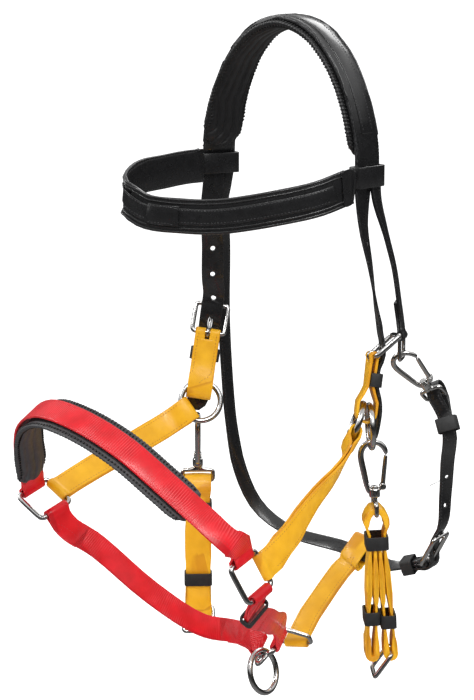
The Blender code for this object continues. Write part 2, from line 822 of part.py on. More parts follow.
# Noseband with its pad
noseMiddle = [
    (-130, -218, -407), (-114, -236, -377), (-87, -254, -348), (-51, -265, -333), (-10, -267, -335),
    (44, -257, -356), (75, -245, -380), (109, -230, -409), (135, -219, -431),
]
muzzle = Vector((0, -0.876, -0.482))
farBar = squareMatrices["r"] @ Vector((0, squareSide / 2, 0))
nearBar = squareMatrices["l"] @ Vector((0, squareSide / 2, 0))
farAlong = squareMatrices["r"].to_3x3() @ Vector((1, 0, 0))
nearAlong = squareMatrices["l"].to_3x3() @ Vector((1, 0, 0))
nosePoints = [farBar, leaving(farBar, point(*noseMiddle[0]), farAlong, 12 * mm)] + [point(*p) for p in noseMiddle]
nosePoints += [leaving(nearBar, point(*noseMiddle[-1]), nearAlong, 12 * mm), nearBar]
noseAcross = [farAlong, farAlong] + [-muzzle] * len(noseMiddle) + [nearAlong, nearAlong]
noseSpine = Spine(nosePoints, noseAcross, face=-1, steps=4)
noseLap = 34 * mm
folded(
    "noseband", noseSpine, strapWidth, strapThickness, redWebbing, (squareBend, 0, 0), (squareBend, 0, 0),
    startLap=noseLap, endLap=noseLap, side=1, count=44, endEase=3 * fitGap,
)
padDrop = -(strapThickness + fitGap) / 2 - strapThickness / 2 - 2 * fitGap
nosePadStart = 30 * mm
nosePadEnd = noseSpine.length - 78 * mm
noseSection = [(-1, -0.15), (-0.95, -0.5), (-0.7, -0.62), (-0.55, -0.92), (-0.25, -1)]
show(
    "nose_pad",
    padMesh(noseSpine, nosePadStart, nosePadEnd, nosePadWidth, nosePadThickness, padDrop, 38, offset=1 * mm, shape=noseSection),
    blackPad,
)


# Swivel snap hooks: x sideways, y up the hook, z through it; the origin is under the swivel boss
hookPath = [
    (-5, 4), (-7.4, 12), (-9.2, 24), (-11.6, 36), (-12, 43), (-9.5, 49.3), (-4, 53.2), (2.4, 53.6), (8, 51), (11.6, 46), (12.6, 41)
]
hookSizes = [0.75, 0.9, 1, 1, 1, 1, 1, 1, 0.95, 0.85, 0.62]
gatePath = [(8, 10), (9, 18), (10.2, 27), (11.3, 35), (12.1, 40.2)]
gatePivot = Vector((8, 10, 0)) * mm
pinWidth = 2.4 * mm
gateEye = 5.6 * mm
hookHang = Vector((-1, 53.5, 0)) * mm - Vector((0, hookWire / 2 + fitGap, 0))


def cylinderMesh(radius, depth, place, turn=None, vertices=20):
    bpy.ops.mesh.primitive_cylinder_add(vertices=vertices, radius=radius, depth=depth)
    held = bpy.context.object
    if turn:
        held.data.transform(turn)
    held.data.transform(Matrix.Translation(place))
    mesh = held.data.copy()
    drop(held)
    return mesh


alongY = Matrix.Rotation(math.radians(90), 4, "X")


def hookMesh():
    body = wireMesh([Vector((x, y, 0)) * mm for x, y in hookPath], hookWire, sizes=hookSizes)
    boss = cylinderMesh(bossWidth / 2, bossHeight, Vector((0, bossHeight / 2, 0)), alongY)
    mesh = combine(body, boss, "UNION")
    earGap = gateWire + 2 * fitGap
    for way in (1, -1):
        ear = cylinderMesh(gateEye / 2, 1.4 * mm, gatePivot + Vector((0, 0, way * (earGap + 1.4 * mm) / 2)))
        mesh = combine(mesh, ear, "UNION")
        bar = [Vector((1.5 * mm, 4.5 * mm, way * 2.9 * mm)), gatePivot + Vector((0, 0, way * 2.9 * mm))]
        mesh = combine(mesh, wireMesh(bar, 1.3 * mm), "UNION")
    bore = cylinderMesh(stemWire / 2 + fitGap, 3 * bossHeight, Vector((0, bossHeight / 2, 0)), alongY)
    mesh = combine(mesh, bore, "DIFFERENCE")
    pin = cylinderMesh(pinWidth / 2, earGap + 2.8 * mm, gatePivot, vertices=12)
    return combine(mesh, pin, "UNION")


def gateMesh():
    lever = wireMesh([Vector((x, y, 0)) * mm for x, y in gatePath], gateWire, sizes=[1, 1, 1, 0.95, 0.8])
    eye = cylinderMesh(gateEye / 2, gateWire, gatePivot)
    mesh = combine(lever, eye, "UNION")
    hole = cylinderMesh(pinWidth / 2 + fitGap, 4 * gateWire, gatePivot, vertices=16)
    return combine(mesh, hole, "DIFFERENCE", "MANIFOLD")


def yokeMesh(wide, high, wire):
    # stem with a head above the boss and a loop below for the strap, in the yz plane
    drop = wire / 2 + 2.2 * mm
    top = bossHeight + fitGap
    stem = cylinderMesh(stemWire / 2, top + drop + 1 * mm, Vector((0, (top + 1 * mm - drop) / 2, 0)), alongY, 16)
    head = cylinderMesh(stemWire / 2 + 1.1 * mm, 2 * mm, Vector((0, top + 1 * mm, 0)), alongY, 16)
    mesh = combine(stem, head, "UNION")
    loop = [Vector((0, p.y - high / 2 - drop, p.x)) for p in roundedLoop(wide, high, 2.8 * mm)]
    return combine(mesh, wireMesh(loop, wire, closed=True), "UNION")


yokeDrop = yokeWire / 2 + 2.2 * mm + yokeHeight

# Bit hangers: snap, yoke, doubled strap with keepers, and a buckle in the lower fold
bitLength = 150 * mm
innerLayer = [(30, 2.3), (60, 2.7), (85, 3.2), (105, 4), (125, 4.5), (138, 4.9)]
outerLayer = [(138, 12.7), (120, 12.4), (108, 11.6), (96, 10.9), (60, 8.6), (36, 7.2), (20, 7.2), (13, 9.6), (6, 9.4), (0.5, 7)]
lobe = (138, 8.8)
lobeRadius = 3.9
bitBuckleLength = 27 * mm
bitKeeperPlace = 28 * mm
bitBarSpot = (lobe[0] * mm, lobe[1] * mm)
hangWay = {"l": Vector((-0.037, -0.034, 1)), "r": up}


def bitStrapPath():
    right = [(s, h) for s, h in innerLayer]
    for i in range(1, 6):
        a = math.pi * i / 6
        right.append((lobe[0] + lobeRadius * math.sin(a), lobe[1] - lobeRadius * math.cos(a)))
    right += outerLayer
    top = [(-yokeWire / mm / 2 - 1.6, 3.6), (-yokeWire / mm / 2 - 1.8, 0)]
    left = [(s, -h) for s, h in reversed(right)]
    path = right + top + [(top[0][0], -top[0][1])] + left
    return [(s * mm, h * mm) for s, h in path]


for side in "lr":
    k = sideSign[side]
    ring = ringMatrices["b" + side]
    wire = ring @ Vector((0, -ringRadius, 0))
    hangUp = hangWay[side].normalized()
    sideways = outAt(k, ringTurn)
    sideways = (sideways - hangUp * sideways.dot(hangUp)).normalized()
    origin = wire - sideways * hookHang.x - hangUp * (hookHang.y - ringWire / 2)
    hook = axes(origin, sideways, hangUp)
    show("bit_snap_" + side, hookMesh(), steel, hook, wire)
    show("bit_gate_" + side, gateMesh(), steel, hook, hook @ gatePivot)
    show("bit_swivel_" + side, yokeMesh(yokeWidth, yokeHeight, yokeWire), steel, hook)
    bar = origin - hangUp * yokeDrop
    rear = acrossAt(k, ringTurn)
    spine = Spine([bar, bar - hangUp * bitLength], [rear, rear], face=-k, steps=2)
    mesh = bandMesh(spine, bitStrapPath(), strapWidth - 1 * mm, strapThickness)
    barSpot = spine.at(bitBarSpot[0])[0] + spine.at(0)[3] * bitBarSpot[1]
    downIn = (-hangUp * math.cos(math.radians(38)) - spine.at(0)[3] * math.sin(math.radians(38))).normalized()
    buckle = axes(barSpot, -rear * k, downIn)
    mesh = cutSlot(mesh, buckle, slotWidth, -6 * mm, 6.5 * mm, 13 * mm)
    show("bit_strap_" + side, mesh, yellowWebbing, pivot=bar)
    show("bit_buckle_" + side, buckleFrameMesh(strapWidth + 2 * mm, bitBuckleLength, 3.8 * mm, strapWidth - 1 * mm), steel, buckle)
    show("bit_tongue_" + side, tongueMesh(bitBuckleLength, 2.8 * mm, 3.8 * mm), steel, buckle)
    high = 2 * (7.2 * mm + strapThickness / 2) + 4 * fitGap
    keeper("bit_keeper_top_" + side, spine.frame(bitKeeperPlace), strapWidth, high, wall=1.8 * mm)
    for name, way, place in (("outer", 1, 106 * mm), ("inner", -1, 102 * mm)):
        low = 3.6 * mm - strapThickness / 2 - 2 * fitGap
        high = 11.9 * mm + strapThickness / 2 + 2 * fitGap
        keeper(
            "bit_keeper_" + name + "_" + side,
            spine.frame(place, way * (low + high) / 2),
            strapWidth,
            high - low,
            wall=1.7 * mm,
        )

# Chin fitting, lead ring and chin straps
chinWide = 28 * mm
chinLong = 34 * mm
chinCentre = point(0, -20, -602)
chinAlong = Vector((-0.25, 0.80, 0.54))
chinAcross = Vector((0.923, 0.026, 0.383))
chin = axes(chinCentre, chinAcross, chinAlong)
chinLoop = wireMesh(roundedLoop(chinWide, chinLong, 4.5 * mm), squareWire, closed=True)
lugPoints = [(-10, -17), (10, -17), (3, -31), (-3, -31)]


def lugMesh():
    curve = bpy.data.curves.new("lug", "CURVE")
    curve.dimensions = "2D"
    curve.fill_mode = "BOTH"
    curve.extrude = 1.4 * mm
    for outline in (lugPoints, [(3.2 * math.cos(a), -22 + 3.2 * math.sin(a)) for a in [i * math.pi / 6 for i in range(12)]]):
        line = curve.splines.new("POLY")
        line.points.add(len(outline) - 1)
        for i, (x, y) in enumerate(outline):
            line.points[i].co = (x * mm, y * mm, 0, 1)
        line.use_cyclic_u = True
    held = bpy.data.objects.new("lug", curve)
    cutters.objects.link(held)
    mesh = meshOf(held)
    drop(held)
    shape = bmesh.new()
    shape.from_mesh(mesh)
    bmesh.ops.remove_doubles(shape, verts=shape.verts, dist=0.00001)
    bmesh.ops.recalc_face_normals(shape, faces=shape.faces)
    shape.to_mesh(mesh)
    shape.free()
    return mesh


chinBars = {
    "near": chin @ Vector((chinWide / 2, 0, 0)),
    "far": chin @ Vector((-chinWide / 2, 0, 0)),
    "rear": chin @ Vector((0, chinLong / 2, 0)),
}
chinDir = chin.to_3x3() @ Vector((0, 1, 0))
chinSide = chin.to_3x3() @ Vector((1, 0, 0))

# The jowl strap's bar, an open bow welded to the fitting's rear bar
jowlBar = point(11, 10, -607)
jowlSide = Vector((0.92, 0.30, 0.10)).normalized()
bowWire = 4 * mm
bowHalf = (strapWidth + 7 * mm) / 2
bowRoot = 8 * mm
bowReach = 10 * mm
bowCorner = 3 * mm


def rounded(points, radius, arcs=4):
    # an open line with its inner corners rounded
    made = [points[0]]
    for a, b, c in zip(points, points[1:], points[2:]):
        start = b + (a - b).normalized() * radius
        end = b + (c - b).normalized() * radius
        for i in range(arcs + 1):
            f = i / arcs
            made.append(start * (1 - f) ** 2 + b * 2 * f * (1 - f) + end * f**2)
    return made + [points[-1]]


bowAway = chinBars["rear"] - jowlBar
bowAway = (bowAway - jowlSide * bowAway.dot(jowlSide)).normalized()
bowPoints = []
for way in (1, -1):
    corner = jowlBar + jowlSide * bowHalf * way
    limb = [chinBars["rear"] + chinSide * bowRoot * way, corner + bowAway * bowReach, corner]
    bowPoints += limb if way > 0 else limb[::-1]
bow = wireMesh(rounded(bowPoints, bowCorner), bowWire)
bow.transform(chin.inverted())
fitting = combine(combine(chinLoop, lugMesh(), "UNION"), bow, "UNION")
show("chin_fitting", fitting, steel, chin)

leadHang = leadRingCentre / 2 - leadRingWire / 2 - squareWire / 2 - fitGap
frontBar = chin @ Vector((0, -chinLong / 2, 0))
leadAcross = Vector((0.25, -0.75, -0.55))
leadDown = Vector((0.30, -0.25, -0.92))
lead = axes(frontBar + leadDown.normalized() * leadHang, leadAcross.cross(leadDown).cross(leadDown), leadDown)

farStart = squareMatrices["r"] @ Vector((0, -squareSide / 2, 0))
nearStart = squareMatrices["l"] @ Vector((0, -squareSide / 2, 0))
chinMiddle = [point(*p) for p in ((-100, -160, -492), (-62, -122, -541), (-36, -78, -579))]
chinPoints = [farStart, leaving(farStart, chinMiddle[0], farAlong, 12 * mm)] + chinMiddle
chinPoints += [leaving(chinBars["far"], chinMiddle[-1], chinDir, 12 * mm), chinBars["far"]]
chinWays = [farAlong, farAlong, farAlong, farAlong.lerp(chinDir, 0.4), farAlong.lerp(chinDir, 0.8), chinDir, chinDir]
chinSpine = Spine(chinPoints, chinWays, face=1, steps=4)
chinLap = 38 * mm
folded(
    "chin_strap", chinSpine, strapWidth - 1 * mm, strapThickness, redWebbing, (squareBend, 0, 0), (squareBend, 0, 0),
    startLap=chinLap, endLap=chinLap, side=-1, count=30,
)
layerPair = 2 * strapThickness + fitGap
chinMid = nearStart.lerp(chinBars["near"], 0.5) + step(0, 0, -3)
adjustSpine = Spine(
    [
        nearStart,
        leaving(nearStart, chinMid, nearAlong, 10 * mm),
        chinMid,
        leaving(chinBars["near"], chinMid, chinDir, 10 * mm),
        chinBars["near"],
    ],
    [nearAlong, nearAlong, nearAlong.lerp(chinDir, 0.5), chinDir, chinDir],
    face=-1,
    steps=6,
)
folded(
    "chin_adjuster", adjustSpine, strapWidth - 1 * mm, strapThickness, redWebbing, (squareBend, 0, 0), (squareBend, 0, 0),
    startLap=40 * mm, endLap=34 * mm, side=1, count=24,
)
keeper(
    "adjuster_keeper",
    adjustSpine.frame(34 * mm),
    strapWidth + 3 * fitGap,
    layerPair + 15 * fitGap,
    length=10 * mm,
    wall=1.8 * mm,
)
show("lead_ring", ringMesh(leadRingCentre, leadRingWire, 28, 8), steel, lead, frontBar)

# Jowl strap, its upper fold left open for the throat strap
jowlTop = point(19, 101, -524)
jowlLoop = (5.4 * mm, 22 * mm, 4 * mm)
jowlSpine = Spine(
    [jowlBar, leaving(jowlBar, jowlTop, jowlSide, 8 * mm), jowlBar.lerp(jowlTop, 0.7), jowlTop],
    [jowlSide, jowlSide, Vector((1, 0.1, 0)), Vector((1, 0.12, -0.05))],
    face=-1,
    steps=4,
)
doubled(
    "jowl_strap", jowlSpine, strapWidth - 1 * mm, strapThickness, yellowWebbing,
    (barBend(bowWire, strapThickness) + fitGap, 0, 0), jowlLoop, count=8,
)

# Throat strap: stub, link, snap, adjuster, buckle and the long strap from the far side
w = acrossAt(1, loopTurn["l"])
o = outAt(1, loopTurn["l"])
first = loopCentre["l"] + w * throatShift + o * (throatRise - foldHalf)
linkTurn = 28
linkTop = point(110, 46, -287)
linkWire = 3.6 * mm
linkPlay = 1.5 * mm
linkWide = throatWidth + 4 * mm + linkWire
linkHigh = 23 * mm
stubPoints = [first + up * z for z in hangSteps]
stubPoints += [point(*p) for p in ((103, 27, -190), (106, 36, -222), (108.5, 41, -255))]
stubPoints += [leaving(linkTop, stubPoints[-1], acrossAt(1, linkTurn), 8 * mm), linkTop]
stubSpine = Spine(stubPoints, [w] * 3 + [acrossAt(1, 26)] + [acrossAt(1, linkTurn)] * 4, face=-1, steps=4)
stubLap = 34 * mm
folded("throat_stub", stubSpine, throatWidth, throatThickness, blackLeather, None, (barBend(linkWire, throatThickness), 0, 0), endLap=stubLap, side=1, count=30)
link = axes(linkTop - up * linkHigh / 2, acrossAt(1, linkTurn), up)
show("throat_link", wireMesh(roundedLoop(linkWide, linkHigh, 3.6 * mm), linkWire, closed=True), steel, link, linkTop)

snapUp = Vector((-0.112, -0.715, 0.687)).normalized()
snapSide = Vector((0.731, 0.682, 0))
linkLow = linkTop - up * linkHigh
hookLow = hookHang.y - linkWire / 2 - linkPlay
snapX = (snapSide - snapUp * snapSide.dot(snapUp)).normalized()
snapOrigin = linkLow - snapX * hookHang.x - snapUp * hookLow
snap = axes(snapOrigin, snapX, snapUp)
show("throat_snap", hookMesh(), steel, snap)
show("throat_gate", gateMesh(), steel, snap, snap @ gatePivot)
eyeHigh = 12 * mm
eyeWire = 3.6 * mm
eyeDepth = 5.5 * mm
eyeAside = 4.4 * mm
# the swivel stands turned so that its eye's bar lies square to the hook and to the adjuster
eyeBar = snapOrigin - snapUp * (eyeWire / 2 + 2.2 * mm + eyeHigh)
adjustMiddle = [point(134, 92, -386), point(120, 109, -423), point(113.5, 116, -459)]
adjustWay = (adjustMiddle[0] - eyeBar).normalized()
eyeWay = snapUp.cross(adjustWay).normalized()
swivel = axes(snapOrigin, snapUp.cross(eyeWay), snapUp)
show("throat_swivel", yokeMesh(eyeWidth, eyeHigh, eyeWire), steel, swivel)

# The throat buckle, its bar lying fore and aft under the jaw and its end up the near side
throatBar = point(90, 118, -530.5)
frameAcross = Vector((0, 0.986, 0.165)).normalized()
throatSwing = Vector((0.547, -0.133, 0.826)).normalized()
flatAcross = Vector((0.55, 0.83, 0))
throatFrame = axes(throatBar, frameAcross, throatSwing)
throatBuckleLength = 38 * mm
throatWide = throatWidth + 6 * mm
throatWire = 3.8 * mm
show("throat_buckle", buckleFrameMesh(throatWide, throatBuckleLength, throatWire, throatWidth), steel, throatFrame)
show("throat_tongue", tongueMesh(throatBuckleLength, 2.6 * mm, throatWire), steel, throatFrame)
throatRide = throatWire / 2 + fitGap + 2.6 * mm + 2 * fitGap + throatThickness / 2
underThroat = -(throatWire / 2 + fitGap + throatThickness / 2)


def throatLocal(y, z):
    # a place on the adjuster's fold line for its long layer to pass here
    return throatFrame @ (Vector((0, y, z)) * mm + Vector((0, 0, foldHalf)))


# Long throat strap from the far side, under the throat, to the buckle's bar
w = acrossAt(-1, loopTurn["r"])
o = outAt(-1, loopTurn["r"])
first = loopCentre["r"] + w * throatShift + o * (throatRise - foldHalf)
jowlPlace, jowlWay, jowlWide, jowlOut = jowlSpine.at(jowlSpine.length - 9 * mm)
underJaw = point(53, 108, -540)
lashAlong = [
    (point(-98, 19, -170), acrossAt(-1, 16)),
    (point(-108, 32, -221), acrossAt(-1, 12)),
    (point(-113, 37, -292), acrossAt(-1, 8)),
    (point(-111, 39, -351), acrossAt(-1, 6)),
    (point(-103, 38, -410), acrossAt(-1, 8)),
    (point(-95, 43, -458), Vector((0.55, 0.8, 0.2))),
    (point(-80, 52, -492), Vector((0.5, 0.85, 0.1))),
    (point(-50, 68, -515), Vector((0, 0.85, 0.3))),
    (jowlPlace - jowlWide * 22 * mm, jowlWay),
    (jowlPlace, jowlWay),
    (jowlPlace + jowlWide * 20 * mm, jowlWay),
    (underJaw, frameAcross.lerp(jowlWay, 0.3)),
    (leaving(throatBar, underJaw, frameAcross, 11 * mm), frameAcross),
    (throatBar, frameAcross),
]
lashPoints = [first + up * z for z in hangSteps] + [p for p, a in lashAlong]
lashWidths = [w] * len(hangSteps) + [a for p, a in lashAlong]
lashSpine = Spine(lashPoints, lashWidths, face=1, steps=3)
lashHalf = (throatThickness + fitGap) / 2
lashLap = 26 * mm
path = foldedPath(lashSpine.length, lashHalf, None, (barBend(throatWire, throatThickness), 0, 0), 0, lashLap, 46, 1)
lashMesh = bandMesh(lashSpine, path, throatWidth, throatThickness)
lashSlot = axes(throatBar, frameAcross, lashSpine.at(lashSpine.length)[1])
lashMesh = cutSlot(lashMesh, lashSlot, 3.8 * mm, -8 * mm, 5.4 * mm, 15 * mm, "MANIFOLD")
show("throat_strap", lashMesh, blackLeather)

# Adjuster: from its loop on the swivel down through the buckle, its end held against the throat strap
tailRide = lashHalf + throatThickness + 2 * fitGap
tailLine = tailRide + foldHalf
adjustTop = eyeBar - adjustWay * eyeDepth + eyeWay.cross(adjustWay) * eyeAside
adjustPoints = [adjustTop, adjustTop + adjustWay * 14 * mm] + adjustMiddle
adjustPoints += [throatLocal(48, -4), throatLocal(39, underThroat / mm - 0.5), throatLocal(28, underThroat / mm)]
adjustPoints += [throatLocal(15, 2.4), throatLocal(7, throatRide / mm), throatLocal(0, throatRide / mm + 0.4)]
adjustPoints += [lashSpine.frame(lashSpine.length - back * mm) @ Vector((0, 0, tailLine + more * mm)) for back, more in ((12, 1.2), (20, 0.8), (30, 1.6))]
adjustWidths = [eyeWay, eyeWay, eyeWay.lerp(flatAcross, 0.5), flatAcross, flatAcross.lerp(frameAcross, 0.5)] + [frameAcross] * 9
adjustFull = Spine(adjustPoints, adjustWidths, face=1, steps=4)
throatHole = min(evenly(0, adjustFull.length, 600), key=lambda s: (adjustFull.at(s)[0] - throatLocal(12.6, 3.7)).length)
adjustHoles = [(throatHole, 0, 4.2 * mm, 3.4)] + [(throatHole - i * 30 * mm, 0, 4 * mm, 1) for i in (1, 2, 3)]
loopBend = (8.4 * mm, 9 * mm, 0)
path = foldedPath(
    adjustFull.length, (throatThickness + fitGap) / 2, loopBend, None, 50 * mm, 0, 44, 1, startEase=2.5 * fitGap
)
adjustMesh = bandMesh(adjustFull, path, throatWidth, throatThickness)
adjustMesh = pierced(adjustMesh, adjustFull, [(s, (throatThickness + fitGap) / 2, w, k) for s, h, w, k in adjustHoles], throatThickness)
show("throat_adjuster", adjustMesh, blackLeather)
keeper(
    "adjuster_loop_keeper",
    adjustFull.frame(35 * mm),
    throatWidth + 12 * fitGap,
    2 * throatThickness + 19 * fitGap,
    length=14 * mm,
    wall=1.8 * mm,
    skin=blackLeather,
)

tailKeeperInside = lashHalf + throatThickness / 2 + 6 * fitGap
tailKeeperOutside = tailRide + throatThickness / 2 + 9 * fitGap
keeper(
    "throat_keeper",
    lashSpine.frame(lashSpine.length - 23 * mm, (tailKeeperOutside - tailKeeperInside) / 2),
    throatWidth + 11 * fitGap,
    tailKeeperInside + tailKeeperOutside,
    length=12 * mm,
    wall=1.8 * mm,
    skin=blackLeather,
)
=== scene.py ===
import heapq
import json
import math

import bmesh
import bpy
import numpy as np
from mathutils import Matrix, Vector
from mathutils.bvhtree import BVHTree

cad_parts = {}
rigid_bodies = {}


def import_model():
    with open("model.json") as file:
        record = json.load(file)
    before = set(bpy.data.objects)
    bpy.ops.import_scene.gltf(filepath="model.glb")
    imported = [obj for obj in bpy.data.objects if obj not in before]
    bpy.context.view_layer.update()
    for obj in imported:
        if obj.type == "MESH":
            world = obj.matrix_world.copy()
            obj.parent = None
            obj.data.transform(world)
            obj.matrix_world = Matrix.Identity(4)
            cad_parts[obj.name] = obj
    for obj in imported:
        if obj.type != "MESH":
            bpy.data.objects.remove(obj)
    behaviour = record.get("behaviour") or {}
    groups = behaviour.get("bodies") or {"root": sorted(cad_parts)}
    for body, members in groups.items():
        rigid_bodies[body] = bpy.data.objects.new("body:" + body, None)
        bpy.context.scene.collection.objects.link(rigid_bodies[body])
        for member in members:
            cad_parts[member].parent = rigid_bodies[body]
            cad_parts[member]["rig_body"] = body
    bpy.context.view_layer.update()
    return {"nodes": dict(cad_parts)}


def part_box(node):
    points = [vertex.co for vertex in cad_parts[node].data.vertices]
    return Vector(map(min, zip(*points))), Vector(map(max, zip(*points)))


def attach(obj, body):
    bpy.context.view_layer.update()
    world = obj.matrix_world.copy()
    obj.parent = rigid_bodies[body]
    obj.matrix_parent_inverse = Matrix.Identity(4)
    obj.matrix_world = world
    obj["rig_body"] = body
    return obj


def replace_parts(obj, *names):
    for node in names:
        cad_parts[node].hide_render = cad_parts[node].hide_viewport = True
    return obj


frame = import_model()
cadNodes = frame["nodes"]
mm = 0.001
mergeReach = 0.01 * mm
print("frame loaded:", len(cadNodes), "nodes")


# Meshes and objects
def pointsOf(mesh, what="co"):
    # a row of three for each point: its place, or its normal
    values = np.empty(len(mesh.vertices) * 3)
    mesh.vertices.foreach_get(what, values)
    return values.reshape(-1, 3)


def placePoints(mesh, points):
    mesh.vertices.foreach_set("co", points.ravel())
    mesh.update()


def linked(name, data):
    made = bpy.data.objects.new(name, data)
    bpy.context.scene.collection.objects.link(made)
    return made


def modifier(obj, kind, **settings):
    made = obj.modifiers.new(kind.lower(), kind)
    for name, value in settings.items():
        setattr(made, name, value)
    return made


def bevel(obj, width, corner, **settings):
    # rounds the edges that turn by more than the corner's degrees
    limit = {"limit_method": "ANGLE", "angle_limit": math.radians(corner)}
    modifier(obj, "BEVEL", width=width, segments=2, **limit, **settings)


def plainMesh(held):
    # what the object shows, as a mesh of its own; the object goes
    graph = bpy.context.evaluated_depsgraph_get()
    graph.update()
    made = bpy.data.meshes.new_from_object(held.evaluated_get(graph))
    bpy.data.objects.remove(held)
    return made


def mergedCopy(node):
    shape = bmesh.new()
    shape.from_mesh(cadNodes[node].data)
    bmesh.ops.remove_doubles(shape, verts=shape.verts, dist=mergeReach)
    return shape


def heldShape(shape):
    mesh = bpy.data.meshes.new("held")
    shape.to_mesh(mesh)
    shape.free()
    return linked("held", mesh)


def smoothShade(mesh, sharpFrom=None):
    mesh.shade_smooth()
    if sharpFrom:
        mesh.set_sharp_from_angle(angle=math.radians(sharpFrom))


def newPiece(name, mesh, node, material):
    mesh.name = name
    piece = linked(name, mesh)
    mesh.materials.clear()
    mesh.materials.append(material)
    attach(piece, cadNodes[node]["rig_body"])
    return piece


# Materials
class Nodes:
    # helpers for the nodes of a material or of the world
    def __init__(self, tree):
        self.tree = tree

    def add(self, kind, **sockets):
        node = self.tree.nodes.new(kind)
        for socket, value in sockets.items():
            if hasattr(node, socket):
                setattr(node, socket, value)
            else:
                node.inputs[socket.replace("_", " ")].default_value = value
        return node

    def give(self, value, socket):
        # another node's output is joined, and anything else is set
        if hasattr(value, "is_output"):
            self.tree.links.new(value, socket)
        elif socket.type == "RGBA":
            socket.default_value = (*value, 1)
        else:
            socket.default_value = value

    def math(self, operation, first, second=None):
        node = self.add("ShaderNodeMath", operation=operation)
        self.give(first, node.inputs[0])
        if second is not None:
            self.give(second, node.inputs[1])
        return node.outputs[0]

    def ramp(self, value, low, high, start=0.0, end=1.0):
        node = self.add(
            "ShaderNodeMapRange", From_Min=start, From_Max=end, To_Min=low, To_Max=high
        )
        self.give(value, node.inputs["Value"])
        return node.outputs["Result"]

    def mix(self, amount, first, second):
        node = self.add("ShaderNodeMix", data_type="RGBA")
        self.give(amount, node.inputs["Factor"])
        for name, value in (("A", first), ("B", second)):
            self.give(value, [i for i in node.inputs if i.name == name and i.type == "RGBA"][0])
        return [o for o in node.outputs if o.type == "RGBA"][0]


class Shader(Nodes):
    # a Principled material; a coat is a weight and a roughness
    def __init__(self, name, coat=None, **sockets):
        self.material = bpy.data.materials.new(name)
        self.material.use_nodes = True
        super().__init__(self.material.node_tree)
        self.principled = self.tree.nodes["Principled BSDF"]
        if coat:
            sockets["Coat_Weight"], sockets["Coat_Roughness"] = coat
        for socket, value in sockets.items():
            self.principled.inputs[socket.replace("_", " ")].default_value = value

    def places(self):
        if not hasattr(self, "coordinate"):
            self.coordinate = self.add("ShaderNodeTexCoord").outputs["Object"]
        return self.coordinate

    def noise(self, scale, detail=3.0):
        node = self.add("ShaderNodeTexNoise", Scale=scale, Detail=detail, Roughness=0.5)
        self.give(self.places(), node.inputs["Vector"])
        return node.outputs["Fac"]

    def cells(self, scale):
        node = self.add("ShaderNodeTexVoronoi", Scale=scale)
        self.give(self.places(), node.inputs["Vector"])
        return node.outputs["Distance"]

    def strap(self):
        # across from -1 to 1 and along in metres, from the strap's own map
        split = self.add("ShaderNodeSeparateXYZ")
        self.give(self.add("ShaderNodeUVMap", uv_map="strap").outputs["UV"], split.inputs[0])
        return split.outputs["X"], split.outputs["Y"]

    def bump(self, height, relief, before=None):
        # relief: strength and depth
        strength, depth = relief
        node = self.add("ShaderNodeBump", Strength=strength, Distance=depth)
        self.give(height, node.inputs["Height"])
        if before:
            self.give(before, node.inputs["Normal"])
        return node.outputs["Normal"]

    def finish(self, colour, rough, normal):
        self.give(colour, self.principled.inputs["Base Color"])
        self.give(rough, self.principled.inputs["Roughness"])
        self.give(normal, self.principled.inputs["Normal"])
        return self.material


# in each look, scales are the noise's, and a relief is a strength and a depth
leatherLook = {
    "dark": (0.006, 0.006, 0.0065),
    "pale": (0.014, 0.014, 0.0150),
    # a paler rim along the strap's edges, in patches: partly wear, partly a painted highlight
    "worn": (0.075, 0.075, 0.078),
    "wear": (0.45, 0.75),
    "edgeWear": (0.93, 1.0),
    "rough": (0.22, 0.36),
    "coat": (0.45, 0.1),
    "shine": 0.5,
    "crease": 0.86,
    "scales": {"shade": 140, "wear": 420, "rough": 260, "grain": 1500, "pores": 2600},
    "grain": (0.22, 0.12 * mm),
    "pores": (0.12, 0.06 * mm),
    "groove": (0.5, 0.25 * mm),
}
webbingLook = {
    "rough": (0.24, 0.44),
    "coat": (0.16, 0.16),
    "shine": 0.3,
    # where across the strap the painted edge shade begins and ends
    "edgeShare": (0.9, 1.02),
    "scales": {"shade": 60, "rough": 300, "fuzz": 1500, "patch": 22},
    "fuzz": (0.12, 0.10 * mm),
}
yellowLook = webbingLook | {
    "deep": (0.80, 0.385, 0.007),
    "bright": (0.92, 0.485, 0.014),
    # edge: painted shade, a darker colour towards the strap's edges
    "edge": (0.62, 0.23, 0.005),
    "pitch": 1.25 * mm,
    "cross": 34.0,
    "weave": (0.4, 0.10 * mm),
}
redLook = webbingLook | {
    "deep": (0.62, 0.003, 0.009),
    "bright": (0.80, 0.007, 0.017),
    # edge: painted shade, a darker colour towards the strap's edges
    "edge": (0.46, 0.003, 0.008),
    # rib crests: a painted highlight colour, mixed in where the ribs show
    "crest": (0.93, 0.085, 0.10),
    "pitch": 2.2 * mm,
    "patches": (0.44, 0.62),
    "weave": (0.8, 0.3 * mm),
}
padLook = {
    "coat": (0.08, 0.4),
    "scales": {"shade": 180, "rough": 400, "grain": 1300},
    "grain": (0.25, 0.15 * mm),
}
crownPadLook = padLook | {
    "dark": (0.004, 0.004, 0.0045),
    "pale": (0.014, 0.014, 0.015),
    "rough": (0.32, 0.5),
}
nosePadLook = padLook | {
    "dark": (0.024, 0.024, 0.026),
    "pale": (0.055, 0.055, 0.060),
    "rough": (0.46, 0.66),
}
steelLook = {
    "dark": (0.46, 0.455, 0.45),
    "pale": (0.66, 0.65, 0.64),
    "rough": (0.08, 0.24),
    "scales": {"shade": 90, "rough": 700, "grain": 900},
    "grain": (0.04, 0.05 * mm),
}
rubberLook = {
    "dark": (0.010, 0.010, 0.010),
    "pale": (0.026, 0.026, 0.027),
    "rough": (0.48, 0.68),
    "scales": {"shade": 200, "rough": 500, "grain": 1800},
    "grain": (0.2, 0.1 * mm),
}
threadLook = {
    "rough": (0.45, 0.65),
    "scales": {"shade": 900, "rough": 1200, "grain": 5000},
    "grain": (0.3, 0.05 * mm),
}


